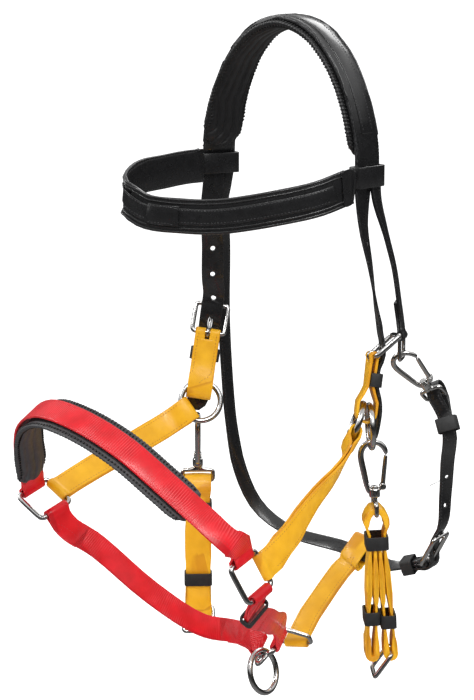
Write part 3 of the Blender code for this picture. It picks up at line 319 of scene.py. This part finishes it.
def leatherMaterial(name, look):
    made = Shader(name, look["coat"], Specular_IOR_Level=look["shine"])
    scales = look["scales"]
    aside = made.math("ABSOLUTE", made.strap()[0])
    shade = made.mix(made.noise(scales["shade"]), look["dark"], look["pale"])
    # the paler rim along the edges: partly edge wear, partly a painted highlight
    edge = made.ramp(aside, 0.0, 0.7, *look["edgeWear"])
    wear = made.ramp(made.noise(scales["wear"]), 0.0, 1.0, *look["wear"])
    shade = made.mix(made.math("MULTIPLY", edge, wear), shade, look["worn"])
    rough = made.ramp(made.noise(scales["rough"]), *look["rough"])
    fromCrease = made.math("ABSOLUTE", made.math("SUBTRACT", aside, look["crease"]))
    groove = made.ramp(fromCrease, 0.0, 1.0, 0.0, 0.03)
    grain = made.bump(made.cells(scales["grain"]), look["grain"])
    pores = made.bump(made.noise(scales["pores"], 2.0), look["pores"], grain)
    return made.finish(shade, rough, made.bump(groove, look["groove"], pores))


def webbingMaterial(name, look):
    made = Shader(name, look["coat"], Specular_IOR_Level=look["shine"])
    scales = look["scales"]
    across, along = made.strap()
    shade = made.ramp(made.noise(scales["shade"]), 0.0, 1.0, 0.3, 0.7)
    shade = made.mix(shade, look["deep"], look["bright"])
    # darker towards the strap's edges: painted shade
    edge = made.ramp(made.math("ABSOLUTE", across), 0.0, 0.65, *look["edgeShare"])
    shade = made.mix(edge, shade, look["edge"])
    wave = made.math("SINE", made.math("MULTIPLY", along, 2 * math.pi / look["pitch"]))
    if "crest" in look:
        # ribs across the strap, clearer in patches, their crests lightened with a painted highlight
        # colour
        patch = made.ramp(made.noise(scales["patch"], 2.0), 0.1, 1.0, *look["patches"])
        height = made.math("MULTIPLY", wave, patch)
        shade = made.mix(made.ramp(height, 0.0, 0.8, 0.1, 1.0), shade, look["crest"])
    else:
        cross = made.math("SINE", made.math("MULTIPLY", across, look["cross"]))
        height = made.math("MULTIPLY", wave, cross)
    woven = made.bump(height, look["weave"])
    rough = made.ramp(made.noise(scales["rough"]), *look["rough"])
    fuzz = made.bump(made.noise(scales["fuzz"], 2.0), look["fuzz"], woven)
    return made.finish(shade, rough, fuzz)


def padMaterial(name, look):
    made = Shader(name, look["coat"])
    scales = look["scales"]
    shade = made.mix(made.noise(scales["shade"]), look["dark"], look["pale"])
    rough = made.ramp(made.noise(scales["rough"]), *look["rough"])
    return made.finish(shade, rough, made.bump(made.cells(scales["grain"]), look["grain"]))


def steelMaterial(name, look):
    made = Shader(name, Metallic=1.0)
    scales = look["scales"]
    shade = made.mix(made.noise(scales["shade"]), look["dark"], look["pale"])
    rough = made.ramp(made.noise(scales["rough"], 4.0), *look["rough"])
    return made.finish(shade, rough, made.bump(made.noise(scales["grain"], 2.0), look["grain"]))


def rubberMaterial(name, look):
    made = Shader(name)
    scales = look["scales"]
    shade = made.mix(made.noise(scales["shade"]), look["dark"], look["pale"])
    rough = made.ramp(made.noise(scales["rough"]), *look["rough"])
    return made.finish(shade, rough, made.bump(made.noise(scales["grain"]), look["grain"]))


def threadMaterial(name, dark, pale):
    made = Shader(name)
    scales = threadLook["scales"]
    shade = made.mix(made.noise(scales["shade"]), dark, pale)
    rough = made.ramp(made.noise(scales["rough"]), *threadLook["rough"])
    grain = made.bump(made.noise(scales["grain"], 2.0), threadLook["grain"])
    return made.finish(shade, rough, grain)


blackLeather = leatherMaterial("coatedBlackLeather", leatherLook)
yellowWebbing = webbingMaterial("yellowWebbing", yellowLook)
redWebbing = webbingMaterial("redWebbing", redLook)
crownPad = padMaterial("crownPad", crownPadLook)
nosePad = padMaterial("nosePad", nosePadLook)
steel = steelMaterial("polishedSteel", steelLook)
rubber = rubberMaterial("keeperRubber", rubberLook)
# near-black beads set in the pads' pricked holes: painted shade inside the holes
pricked = threadMaterial("pricked", (0.0004, 0.0004, 0.0004), (0.001, 0.001, 0.001))
blackThread = threadMaterial("blackThread", (0.03, 0.03, 0.032), (0.075, 0.075, 0.08))
yellowThread = threadMaterial("yellowThread", (0.44, 0.17, 0.008), (0.62, 0.27, 0.012))
redThread = threadMaterial("redThread", (0.50, 0.01, 0.02), (0.70, 0.03, 0.04))
print("materials made")


# Strap tracing: the middle line of a strap, read from its solid
tracing = {
    "pitch": 5 * mm,
    "ringReach": 0.8,  # share of the pitch
    "fewest": 5,
    "longest": 6 * mm,
    "endDepth": 2 * mm,
    "endReach": 1.3,  # times the strap's width
    "wayReach": 3,
}


def distances(points, links, sources):
    # shortest way along the edges from the sources to every point
    found = np.full(len(points), np.inf)
    queue = []
    for place, start in sources:
        found[place] = start
        heapq.heappush(queue, (start, place))
    while queue:
        far, place = heapq.heappop(queue)
        if far > found[place]:
            continue
        for other, length in links[place]:
            if far + length < found[other]:
                found[other] = far + length
                heapq.heappush(queue, (found[other], other))
    return found


def edgeLinks(node):
    # the solid's points and what each is joined to, with long edges divided
    shape = mergedCopy(node)
    for turn in range(3):
        long = [e for e in shape.edges if e.calc_length() > tracing["longest"]]
        bmesh.ops.subdivide_edges(shape, edges=long, cuts=1)
        bmesh.ops.triangulate(shape, faces=shape.faces)
    shape.verts.index_update()
    points = np.array([v.co for v in shape.verts])
    links = [[] for v in shape.verts]
    for edge in shape.edges:
        first, second = (v.index for v in edge.verts)
        length = edge.calc_length()
        links[first].append((second, length))
        links[second].append((first, length))
    shape.free()
    return points, links


def unit(rows):
    return rows / np.linalg.norm(rows, axis=1)[:, None]


class MiddleLine:
    # places along the strap, each with its way along, across and out of the strap
    def __init__(self, node, width):
        points, links = edgeLinks(node)
        end = int(np.argmax(distances(points, links, [(0, 0.0)])))
        near = np.linalg.norm(points - points[end], axis=1)
        close = near < tracing["endReach"] * width
        way = points[near < tracing["wayReach"] * width].mean(0) - points[close].mean(0)
        way /= np.linalg.norm(way)
        ahead = (points - points[end]) @ way
        least = ahead[close].min()
        starts = np.nonzero(close & (ahead < least + tracing["endDepth"]))[0]
        far = distances(points, links, [(int(i), float(ahead[i] - least)) for i in starts])
        pitch = tracing["pitch"]
        rings = []
        for place in np.arange(pitch / 2, far.max(), pitch):
            inside = np.abs(far - place) < pitch * tracing["ringReach"]
            if inside.sum() >= tracing["fewest"]:
                rings.append(points[inside])
        centres = np.array([ring.mean(0) for ring in rings])
        self.middle = centres.copy()
        self.middle[1:-1] = (centres[:-2] + 2 * centres[1:-1] + centres[2:]) / 4
        self.along = unit(np.gradient(self.middle, axis=0))
        across = []
        for ring, centre, way in zip(rings, centres, self.along):
            spread = ring - centre
            spread = spread - np.outer(spread @ way, way)
            axis = np.linalg.svd(spread, full_matrices=False)[2][0]
            if across and axis @ across[-1] < 0:
                axis = -axis
            across.append(axis)
        across = np.array(across)
        across[1:-1] = across[:-2] + 2 * across[1:-1] + across[2:]
        self.across = unit(across)
        self.out = np.cross(self.across, self.along)
        steps = np.linalg.norm(np.diff(self.middle, axis=0), axis=1)
        self.places = np.concatenate([[0], np.cumsum(steps)])
        self.length = self.places[-1]
        self.half = width / 2

    def locate(self, points):
        # across from -1 to 1 and along in metres, for each point
        away = np.linalg.norm(points[:, None, :] - self.middle[None, :, :], axis=2)
        best = away.argmin(1)
        offset = points - self.middle[best]
        across = np.einsum("ij,ij->i", offset, self.across[best]) / self.half
        along = self.places[best] + np.einsum("ij,ij->i", offset, self.along[best])
        return across, along


def mapStrap(mesh, line):
    across, along = line.locate(pointsOf(mesh))
    layer = mesh.uv_layers.new(name="strap")
    corners = np.empty(len(mesh.loops), dtype=np.int32)
    mesh.loops.foreach_get("vertex_index", corners)
    values = np.stack([across[corners], along[corners]], axis=1)
    layer.data.foreach_set("uv", values.ravel().astype(np.float32))


# Straps: width in mm, finish and edge radius in mm
black = ("black_leather", blackLeather)
yellow = ("yellow_webbing", yellowWebbing)
red = ("red_webbing", redWebbing)
straps = {
    "crown_strap": (34, black, 0.5),
    "browband": (33, black, 0.6),
    "browband_inlay": (15, black, 0.5),
    "badge_plate": (19, black, 0.35),
    "cheek_strap_l": (22, black, 0.5),
    "cheek_strap_r": (22, black, 0.5),
    "throat_stub": (14, black, 0.4),
    "throat_strap": (14, black, 0.4),
    "throat_adjuster": (14, black, 0.4),
    "short_cheek_l": (25, yellow, 0.7),
    "short_cheek_r": (25, yellow, 0.7),
    "halter_cheek_l": (25, yellow, 0.7),
    "halter_cheek_r": (25, yellow, 0.7),
    "bit_strap_l": (24, yellow, 0.8),
    "bit_strap_r": (24, yellow, 0.8),
    "jowl_strap": (24, yellow, 0.7),
    "noseband": (25, red, 0.6),
    "chin_strap": (24, red, 0.6),
    "chin_adjuster": (24, red, 0.6),
}
strapFinish = {"flat": 0.6, "corner": 42, "sharp": 38}  # degrees
# the wound bit straps are drawn fuller by this many mm, but not beside a keeper
fuller = {"bit_strap_l": 2.1, "bit_strap_r": 2.1}
fullness = {"longest": 5 * mm, "cuts": 3, "clear": 7 * mm, "ease": 5 * mm}
# straps whose middle is drawn on a stiffer curve than the solid's facets
stiffer = {"halter_cheek_l": 400, "halter_cheek_r": 200, "jowl_strap": 300}
stillEnds = {"length": 22 * mm, "hold": 1e5}


def swell(shape, node):
    keepers = [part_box(n) for n in cadNodes if n.startswith("bit_keeper") and n[-1] == node[-1]]
    long = [e for e in shape.edges if e.calc_length() > fullness["longest"]]
    bmesh.ops.subdivide_edges(shape, edges=long, cuts=fullness["cuts"], use_grid_fill=True)
    shape.normal_update()
    for vert in shape.verts:
        share = 1.0
        for low, high in keepers:
            away = max(low[2] - vert.co.z, vert.co.z - high[2], 0.0)
            share = min(share, max(0.0, (away - fullness["clear"]) / fullness["ease"]))
        vert.co += vert.normal * fuller[node] * mm * share


def stiffen(mesh, line, stiffness):
    # moves the strap's middle onto the curve; its ends stay round their rings
    count = len(line.places)
    bend = np.zeros((count - 2, count))
    for i in range(count - 2):
        bend[i, i : i + 3] = (1, -2, 1)
    reach = stillEnds["length"]
    ends = (line.places < reach) | (line.places > line.length - reach)
    hold = np.diag(np.where(ends, stillEnds["hold"], 1.0))
    curve = np.linalg.solve(hold + stiffness * bend.T @ bend, hold @ line.middle)
    shift = curve - line.middle
    points = pointsOf(mesh)
    along = line.locate(points)[1]
    moved = [np.interp(along, line.places, shift[:, axis]) for axis in range(3)]
    placePoints(mesh, points + np.array(moved).T)
    line.middle = line.middle + shift


lines = {}
skins = {}
for node, (width, (slot, material), edge) in straps.items():
    line = MiddleLine(node, width * mm)
    shape = mergedCopy(node)
    flat = math.radians(strapFinish["flat"])
    bmesh.ops.dissolve_limit(shape, angle_limit=flat, verts=shape.verts, edges=shape.edges)
    if node in fuller:
        swell(shape, node)
    held = heldShape(shape)
    miter = {"use_clamp_overlap": False, "miter_outer": "MITER_ARC"}
    bevel(held, edge * mm, strapFinish["corner"], **miter)
    mesh = plainMesh(held)
    mapStrap(mesh, line)
    if node in stiffer:
        stiffen(mesh, line, stiffer[node])
    smoothShade(mesh, strapFinish["sharp"])
    skins[node] = newPiece(node + "_skin", mesh, node, material)
    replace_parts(skins[node], node)
    lines[node] = line
print("straps dressed:", len(skins))


# Pads: crowned, with a seam and gathers along both edges and sewn channels between;
# widths, depths and the place of the pricked row in mm
padShapes = {
    "poll_pad": {
        "width": 44,
        "look": crownPad,
        "gather": 0.5,
        "pitch": 3.6,
        "seam": 0.5,
        "channel": 1.3,
        "channels": 5,
        "pricks": 19.0,
    },
    "nose_pad": {
        "width": 41,
        "look": nosePad,
        "gather": 0.45,
        "pitch": 3.6,
        "seam": 0.4,
        "channel": 1.1,
        "channels": 4,
        "pricks": 16.9,
    },
}
# where each form lies and how wide it fades, as shares of the half width
padZones = {"rim": (0.74, 0.08), "seam": (0.76, 0.05), "inner": (0.7, 0.1)}
padFinish = {"voxel": 0.9 * mm, "ease": 0.5, "rounds": 6, "fill": 0.6}


def padMesh(node):
    held = heldShape(mergedCopy(node))
    modifier(held, "REMESH", mode="VOXEL", voxel_size=padFinish["voxel"])
    modifier(held, "SMOOTH", factor=padFinish["ease"], iterations=padFinish["rounds"])
    return plainMesh(held)


def padDepth(across, along, size):
    # how deep each point lies under the plain cushion
    side = np.abs(across)
    rimAt, rimFade = padZones["rim"]
    seamAt, seamFade = padZones["seam"]
    innerAt, innerFade = padZones["inner"]
    wave = 0.5 + 0.5 * np.cos(2 * np.pi * along / (size["pitch"] * mm))
    rim = np.clip((side - rimAt) / rimFade, 0, 1)
    seam = np.exp(-(((side - seamAt) / seamFade) ** 2))
    inner = np.clip((innerAt - side) / innerFade, 0, 1)
    channel = (0.5 + 0.5 * np.cos(np.pi * size["channels"] * (across + 1))) ** 3 * inner
    return size["gather"] * wave * rim + size["seam"] * seam + size["channel"] * channel


for node, size in padShapes.items():
    line = MiddleLine(node, size["width"] * mm)
    mesh = padMesh(node)
    points = pointsOf(mesh)
    depth = padDepth(*line.locate(points), size)
    placePoints(mesh, points - pointsOf(mesh, "normal") * depth[:, None] * mm)
    mapStrap(mesh, line)
    smoothShade(mesh)
    piece = newPiece(node + "_cushion", mesh, node, size["look"])
    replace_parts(piece, node)
    lines[node] = line
    skins[node] = piece
    print(node, "cushion points:", len(points))
print("pads made")


# Steel: smooth skins that stand off the faceted solids by this many mm
standOff = 0.45
slimmer = {
    "throat_link": 0.15,
    "throat_snap": 0.15,
    "bit_ring_r": 0.25,
    "halter_ring_r": 0.25,
    "cheek_tongue_r": 0.2,
}
steelFinish = {"flat": 35, "square": 75, "sharp": 60}  # degrees
steelWords = ("ring", "buckle", "tongue", "snap", "gate", "swivel", "link", "fitting")
keeperFinish = {"edge": 0.35 * mm, "corner": 60, "leather": ("adjuster_loop_keeper", "throat_keeper")}


def steelSkin(node):
    shape = mergedCopy(node)
    bmesh.ops.join_triangles(
        shape,
        faces=shape.faces,
        angle_face_threshold=math.radians(steelFinish["flat"]),
        angle_shape_threshold=math.radians(steelFinish["square"]),
    )
    held = heldShape(shape)
    modifier(held, "SUBSURF", levels=2, render_levels=2)
    mesh = plainMesh(held)
    off = slimmer.get(node, standOff)
    placePoints(mesh, pointsOf(mesh) + pointsOf(mesh, "normal") * off * mm)
    smoothShade(mesh, steelFinish["sharp"])
    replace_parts(newPiece(node + "_steel", mesh, node, steel), node)


def finishKeeper(node):
    # the solid itself is shown, with its edges rounded
    solid = cadNodes[node]
    solid.data.materials.clear()
    solid.data.materials.append(rubber)
    modifier(solid, "WELD", merge_threshold=mergeReach)
    bevel(solid, keeperFinish["edge"], keeperFinish["corner"])
    for face in solid.data.polygons:
        face.use_smooth = True


steelNodes = [n for n in cadNodes if any(word in n for word in steelWords)]
for node in steelNodes:
    steelSkin(node)
for node in cadNodes:
    if "keeper" in node:
        finishKeeper(node)
print("steel pieces:", len(steelNodes))


# Stitches: a long bead of thread at each step along the rows
def stitchTree():
    tree = bpy.data.node_groups.new("stitchRows", "GeometryNodeTree")
    sockets = (
        ("Geometry", "NodeSocketGeometry"),
        ("Pitch", "NodeSocketFloat"),
        ("Length", "NodeSocketFloat"),
        ("Thread", "NodeSocketFloat"),
        ("Material", "NodeSocketMaterial"),
    )
    for name, kind in sockets:
        tree.interface.new_socket(name=name, in_out="INPUT", socket_type=kind)
    tree.interface.new_socket(
        name="Geometry", in_out="OUTPUT", socket_type="NodeSocketGeometry"
    )
    start = tree.nodes.new("NodeGroupInput")
    spots = tree.nodes.new("GeometryNodeCurveToPoints")
    spots.mode = "LENGTH"
    ball = tree.nodes.new("GeometryNodeMeshUVSphere")
    ball.inputs["Segments"].default_value = 6
    ball.inputs["Rings"].default_value = 4
    ball.inputs["Radius"].default_value = 1.0
    size = tree.nodes.new("ShaderNodeCombineXYZ")
    halfLength = tree.nodes.new("ShaderNodeMath")
    halfLength.operation = "MULTIPLY"
    halfLength.inputs[1].default_value = 0.5
    place = tree.nodes.new("GeometryNodeInstanceOnPoints")
    real = tree.nodes.new("GeometryNodeRealizeInstances")
    skin = tree.nodes.new("GeometryNodeSetMaterial")
    end = tree.nodes.new("NodeGroupOutput")
    joins = (
        (start, "Geometry", spots, "Curve"),
        (start, "Pitch", spots, "Length"),
        (start, "Length", halfLength, 0),
        (start, "Thread", size, "X"),
        (start, "Thread", size, "Y"),
        (halfLength, 0, size, "Z"),
        (spots, "Points", place, "Points"),
        (ball, "Mesh", place, "Instance"),
        (spots, "Rotation", place, "Rotation"),
        (size, "Vector", place, "Scale"),
        (place, "Instances", real, "Geometry"),
        (real, "Geometry", skin, "Geometry"),
        (start, "Material", skin, "Material"),
        (skin, "Geometry", end, "Geometry"),
    )
    for first, output, second, target in joins:
        tree.links.new(first.outputs[output], second.inputs[target])
    return tree


stitchGroup = stitchTree()
stitchInputs = {s.name: s.identifier for s in stitchGroup.interface.items_tree if s.in_out == "INPUT"}
both = (1, -1)
rowTracing = {
    "step": 2 * mm,
    "above": 25 * mm,
    "nearest": 1 * mm,
    "reach": 35 * mm,
    "break": 5 * mm,
    "facing": 0.25,
    "fewest": 4,
}


def surfaceRow(line, tree, offset, start, end, side):
    # points on the strap's face along one row, in runs without a break
    runs = [[]]
    for place in np.arange(start, end, rowTracing["step"]):
        after = min(int(np.searchsorted(line.places, place)), len(line.places) - 1)
        before = max(after - 1, 0)
        span = line.places[after] - line.places[before]
        share = 0.0 if span == 0 else (place - line.places[before]) / span
        middle, across, out = (
            rows[before] * (1 - share) + rows[after] * share
            for rows in (line.middle, line.across, line.out)
        )
        out = out * side
        origin = Vector(middle + across * offset + out * rowTracing["above"])
        hit, normal, face, away = tree.ray_cast(origin, Vector(-out), rowTracing["reach"])
        missed = hit is None or away < rowTracing["nearest"]
        if missed or normal.dot(Vector(out)) < rowTracing["facing"]:
            if runs[-1]:
                runs.append([])
            continue
        if runs[-1] and (hit - runs[-1][-1]).length > rowTracing["break"]:
            runs.append([])
        runs[-1].append(hit)
    return [run for run in runs if len(run) >= rowTracing["fewest"]]


def rowCurve(node, rows, sides):
    # a row is an offset across in mm and a start and end as shares of the length,
    # and it has its mirror row on the strap's other half
    line = lines[node]
    tree = BVHTree.FromObject(skins[node], bpy.context.evaluated_depsgraph_get())
    curve = bpy.data.curves.new("held", "CURVE")
    curve.dimensions = "3D"
    mirrored = [(offset * way, start, end) for offset, start, end in rows for way in both]
    for offset, start, end in mirrored:
        span = (start * line.length, end * line.length)
        for side in sides:
            for run in surfaceRow(line, tree, offset * mm, *span, side):
                row = curve.splines.new("POLY")
                row.points.add(len(run) - 1)
                for place, point in enumerate(run):
                    row.points[place].co = (*point, 1)
    return curve


def stitch(node, rows, thread, ending="_stitches"):
    held = linked("held", rowCurve(node, rows, both))
    work = modifier(held, "NODES", node_group=stitchGroup)
    work[stitchInputs["Pitch"]] = thread["pitch"] * mm
    work[stitchInputs["Length"]] = thread["length"] * mm
    work[stitchInputs["Thread"]] = thread["thickness"] * mm
    work[stitchInputs["Material"]] = thread["material"]
    mesh = plainMesh(held)
    if not len(mesh.vertices):
        print("no stitches on", node)
        return
    smoothShade(mesh)
    newPiece(node + ending, mesh, node, thread["material"])


sewing = {"pitch": 3.2, "length": 2.2}  # mm
inBlack = sewing | {"material": blackThread, "slot": "black_leather", "thickness": 0.26}
inYellow = sewing | {"material": yellowThread, "slot": "yellow_webbing", "thickness": 0.32}
inRed = sewing | {"material": redThread, "slot": "red_webbing", "thickness": 0.28}
# pricks: near-black beads that stand for the shade inside the holes
inHoles = {"material": pricked, "slot": "black_pad", "thickness": 1.3, "length": 1.9}
throatRows = [(5.0, 0.0, 1.0)]
cheekRows = [(9.4, 0.06, 0.94)]
chinRows = [(9.6, 0.03, 0.22), (9.6, 0.8, 0.97)]
seams = {
    "crown_strap": (inBlack, [(15.2, 0.02, 0.98), (6.6, 0.1, 0.9)]),
    "browband": (inBlack, [(14.6, 0.03, 0.97)]),
    "browband_inlay": (inBlack, [(5.6, 0.02, 0.98)]),
    "badge_plate": (inBlack, [(7.8, 0.05, 0.95)]),
    "throat_stub": (inBlack, [(4.6, 0.0, 1.0)]),
    "throat_strap": (inBlack, throatRows),
    "throat_adjuster": (inBlack, throatRows),
    "short_cheek_l": (inYellow, cheekRows),
    "halter_cheek_l": (inYellow, cheekRows),
    "short_cheek_r": (inYellow, cheekRows),
    "halter_cheek_r": (inYellow, cheekRows),
    "jowl_strap": (inYellow, [(9.2, 0.1, 0.9)]),
    "noseband": (inRed, [(10.2, 0.02, 0.98)]),
    "chin_strap": (inRed, chinRows),
    "chin_adjuster": (inRed, chinRows),
}
for node, (thread, rows) in seams.items():
    stitch(node, rows, thread)
# the pads' pricked rows: near-black beads as painted shade in the holes
for node, size in padShapes.items():
    stitch(node, [(size["pricks"], 0.005, 0.995)], inHoles | {"pitch": size["pitch"]}, "_pricks")
print("stitches sewn")


# Rolled edges standing up from the strap's outer face, radius in mm
beads = {
    "browband": {"radius": 1.0, "rows": [(15.0, 0.02, 0.98), (11.6, 0.02, 0.98)]},
    "crown_strap": {"radius": 0.8, "rows": [(15.9, 0.01, 0.99)]},
}
for node, bead in beads.items():
    line = lines[node]
    outer = np.einsum("ij,ij->", line.out, line.middle - line.middle.mean(0))
    curve = rowCurve(node, bead["rows"], (1 if outer > 0 else -1,))
    curve.bevel_depth = bead["radius"] * mm
    curve.bevel_resolution = 2
    curve.use_fill_caps = True
    mesh = plainMesh(linked("held", curve))
    smoothShade(mesh)
    newPiece(node + "_beads", mesh, node, blackLeather)
print("edges rolled")


# Browband's near end: its leather carried over the front of the loop, places in mm
browTab = {
    "top": (
        (90.5, -29.7, -127.2),
        (92.2, -26.4, -125.9),
        (95.0, -23.0, -124.4),
        (99.5, -22.3, -124.2),
        (103.0, -22.0, -126.5),
    ),
    "bottom": (
        (91.9, -26.9, -160.6),
        (93.7, -23.5, -159.4),
        (96.7, -18.0, -157.0),
        (99.0, -20.4, -150.0),
        (101.4, -21.8, -143.6),
    ),
    "rows": 5,
    "outward": (0.7, -0.7, 0),
    "thickness": 1.9 * mm,
    "edge": 0.5 * mm,
    "corner": 50,
    "sharp": 40,
}


def tabMesh(tab):
    top = np.array(tab["top"]) * mm
    low = np.array(tab["bottom"]) * mm
    last = tab["rows"] - 1
    points = [top * (1 - i / last) + low * i / last for i in range(tab["rows"])]
    count = len(top)
    faces = []
    for i in range(last):
        for first in range(i * count, i * count + count - 1):
            faces.append((first, first + count, first + count + 1, first + 1))
    mesh = bpy.data.meshes.new("held")
    mesh.from_pydata(np.concatenate(points).tolist(), [], faces)
    mesh.update()
    if mesh.polygons[0].normal.dot(Vector(tab["outward"])) < 0:
        mesh.flip_normals()
    held = linked("held", mesh)
    modifier(held, "SUBSURF", levels=2, render_levels=2)
    modifier(held, "SOLIDIFY", thickness=tab["thickness"], offset=1)
    bevel(held, tab["edge"], tab["corner"])
    return plainMesh(held)


lapped = tabMesh(browTab)
mapStrap(lapped, lines["browband"])
smoothShade(lapped, browTab["sharp"])
newPiece("browband_tab", lapped, "browband", blackLeather)
print("browband's end lapped")


# Floor, light and camera
studio = {
    "middle": (0.0, -0.07, -0.3),
    "floor": -0.9,
    "floorSize": 60,
    "floorGlow": 0.5,
    "ambient": 0.86,
    # brightness seen in reflections from straight down, 0, to straight up, 1
    "bands": (
        (0.0, 0.30),
        (0.30, 0.16),
        (0.46, 0.02),
        (0.60, 0.02),
        (0.68, 0.45),
        (0.80, 1.05),
        (1.0, 0.8),
    ),
}
# the strips are seen only in reflections
lamps = {
    "keyLamp": {"place": (1.6, -1.0, 1.5), "size": (1.2, 1.2), "power": 22},
    "fillLamp": {"place": (-1.6, -1.8, 0.6), "size": (1.4, 1.4), "power": 12},
    "backLamp": {"place": (-0.6, 1.8, 1.2), "size": (1.0, 1.0), "power": 10},
    "stripHigh": {"place": (0.9, -1.2, 1.7), "size": (1.6, 0.12), "power": 16, "strip": True},
    "stripLeft": {"place": (-1.5, -1.1, 0.9), "size": (1.6, 0.12), "power": 16, "strip": True},
}
# dark cards that only reflections see, for the steel's contrast: place and size
cards = {
    "cardLeft": ((-1.2, -1.6, -0.1), (0.5, 1.8)),
    "cardRight": ((2.0, -0.3, -0.4), (0.5, 2.0)),
    "cardLow": ((0.7, -1.1, -0.85), (1.4, 0.4)),
}
cameraPlace = {
    "location": (1.339, -1.509, 0.082),
    "target": (0.0, -0.073, -0.300),
    "lens": 108.28,
    "farthest": 100,
}


def facing(start, end, axis):
    return (Vector(end) - Vector(start)).to_track_quat(axis, "Y").to_euler()


def plane(name, size, location, shader):
    bpy.ops.mesh.primitive_plane_add(size=size, location=location)
    made = bpy.context.object
    made.name = name
    made.data.materials.append(shader.material)
    return made


paper = Shader(
    "palePaper",
    Base_Color=(0.92, 0.92, 0.92, 1),
    Roughness=0.9,
    Specular_IOR_Level=0.0,
    Emission_Color=(1, 1, 1, 1),
)
seenBy = paper.add("ShaderNodeLightPath")
glow = paper.math("MULTIPLY", seenBy.outputs["Is Camera Ray"], studio["floorGlow"])
paper.give(glow, paper.principled.inputs["Emission Strength"])
floor = plane("floor", studio["floorSize"], (0, 0, studio["floor"]), paper)
floor.visible_glossy = False

world = bpy.data.worlds.new("studio")
bpy.context.scene.world = world
world.use_nodes = True
sky = Nodes(world.node_tree)
parts = sky.add("ShaderNodeSeparateXYZ")
sky.give(sky.add("ShaderNodeTexCoord").outputs["Generated"], parts.inputs[0])
bands = sky.add("ShaderNodeValToRGB")
while len(bands.color_ramp.elements) < len(studio["bands"]):
    bands.color_ramp.elements.new(0.5)
for stop, (place, value) in zip(bands.color_ramp.elements, studio["bands"]):
    stop.position = place
    stop.color = (value, value, value, 1)
sky.give(sky.ramp(parts.outputs["Z"], 0.0, 1.0, start=-1.0), bands.inputs["Fac"])
path = sky.add("ShaderNodeLightPath")
ambient = (studio["ambient"],) * 3
reflected = sky.mix(path.outputs["Is Glossy Ray"], ambient, bands.outputs["Color"])
seen = sky.mix(path.outputs["Is Camera Ray"], reflected, (1, 1, 1))
sky.give(seen, sky.tree.nodes["Background"].inputs["Color"])

for name, look in lamps.items():
    light = bpy.data.lights.new(name, "AREA")
    light.shape = "RECTANGLE"
    light.size, light.size_y = look["size"]
    light.energy = look["power"]
    lamp = linked(name, light)
    lamp.location = look["place"]
    lamp.rotation_euler = facing(look["place"], studio["middle"], "-Z")
    lamp.visible_diffuse = not look.get("strip")

for name, (location, size) in cards.items():
    card = plane(name, 1, location, Shader(name, Base_Color=(0.02, 0.02, 0.02, 1)))
    card.scale = (*size, 1)
    card.rotation_euler = facing(location, studio["middle"], "Z")
    card.visible_camera = False
    card.visible_diffuse = False
    card.visible_shadow = False

camera = linked("camera", bpy.data.cameras.new("camera"))
camera.location = cameraPlace["location"]
camera.rotation_euler = facing(cameraPlace["location"], cameraPlace["target"], "-Z")
camera.data.lens = cameraPlace["lens"]
camera.data.clip_end = cameraPlace["farthest"]
bpy.context.scene.camera = camera
bpy.context.scene.view_settings.view_transform = "Standard"
print("studio set")
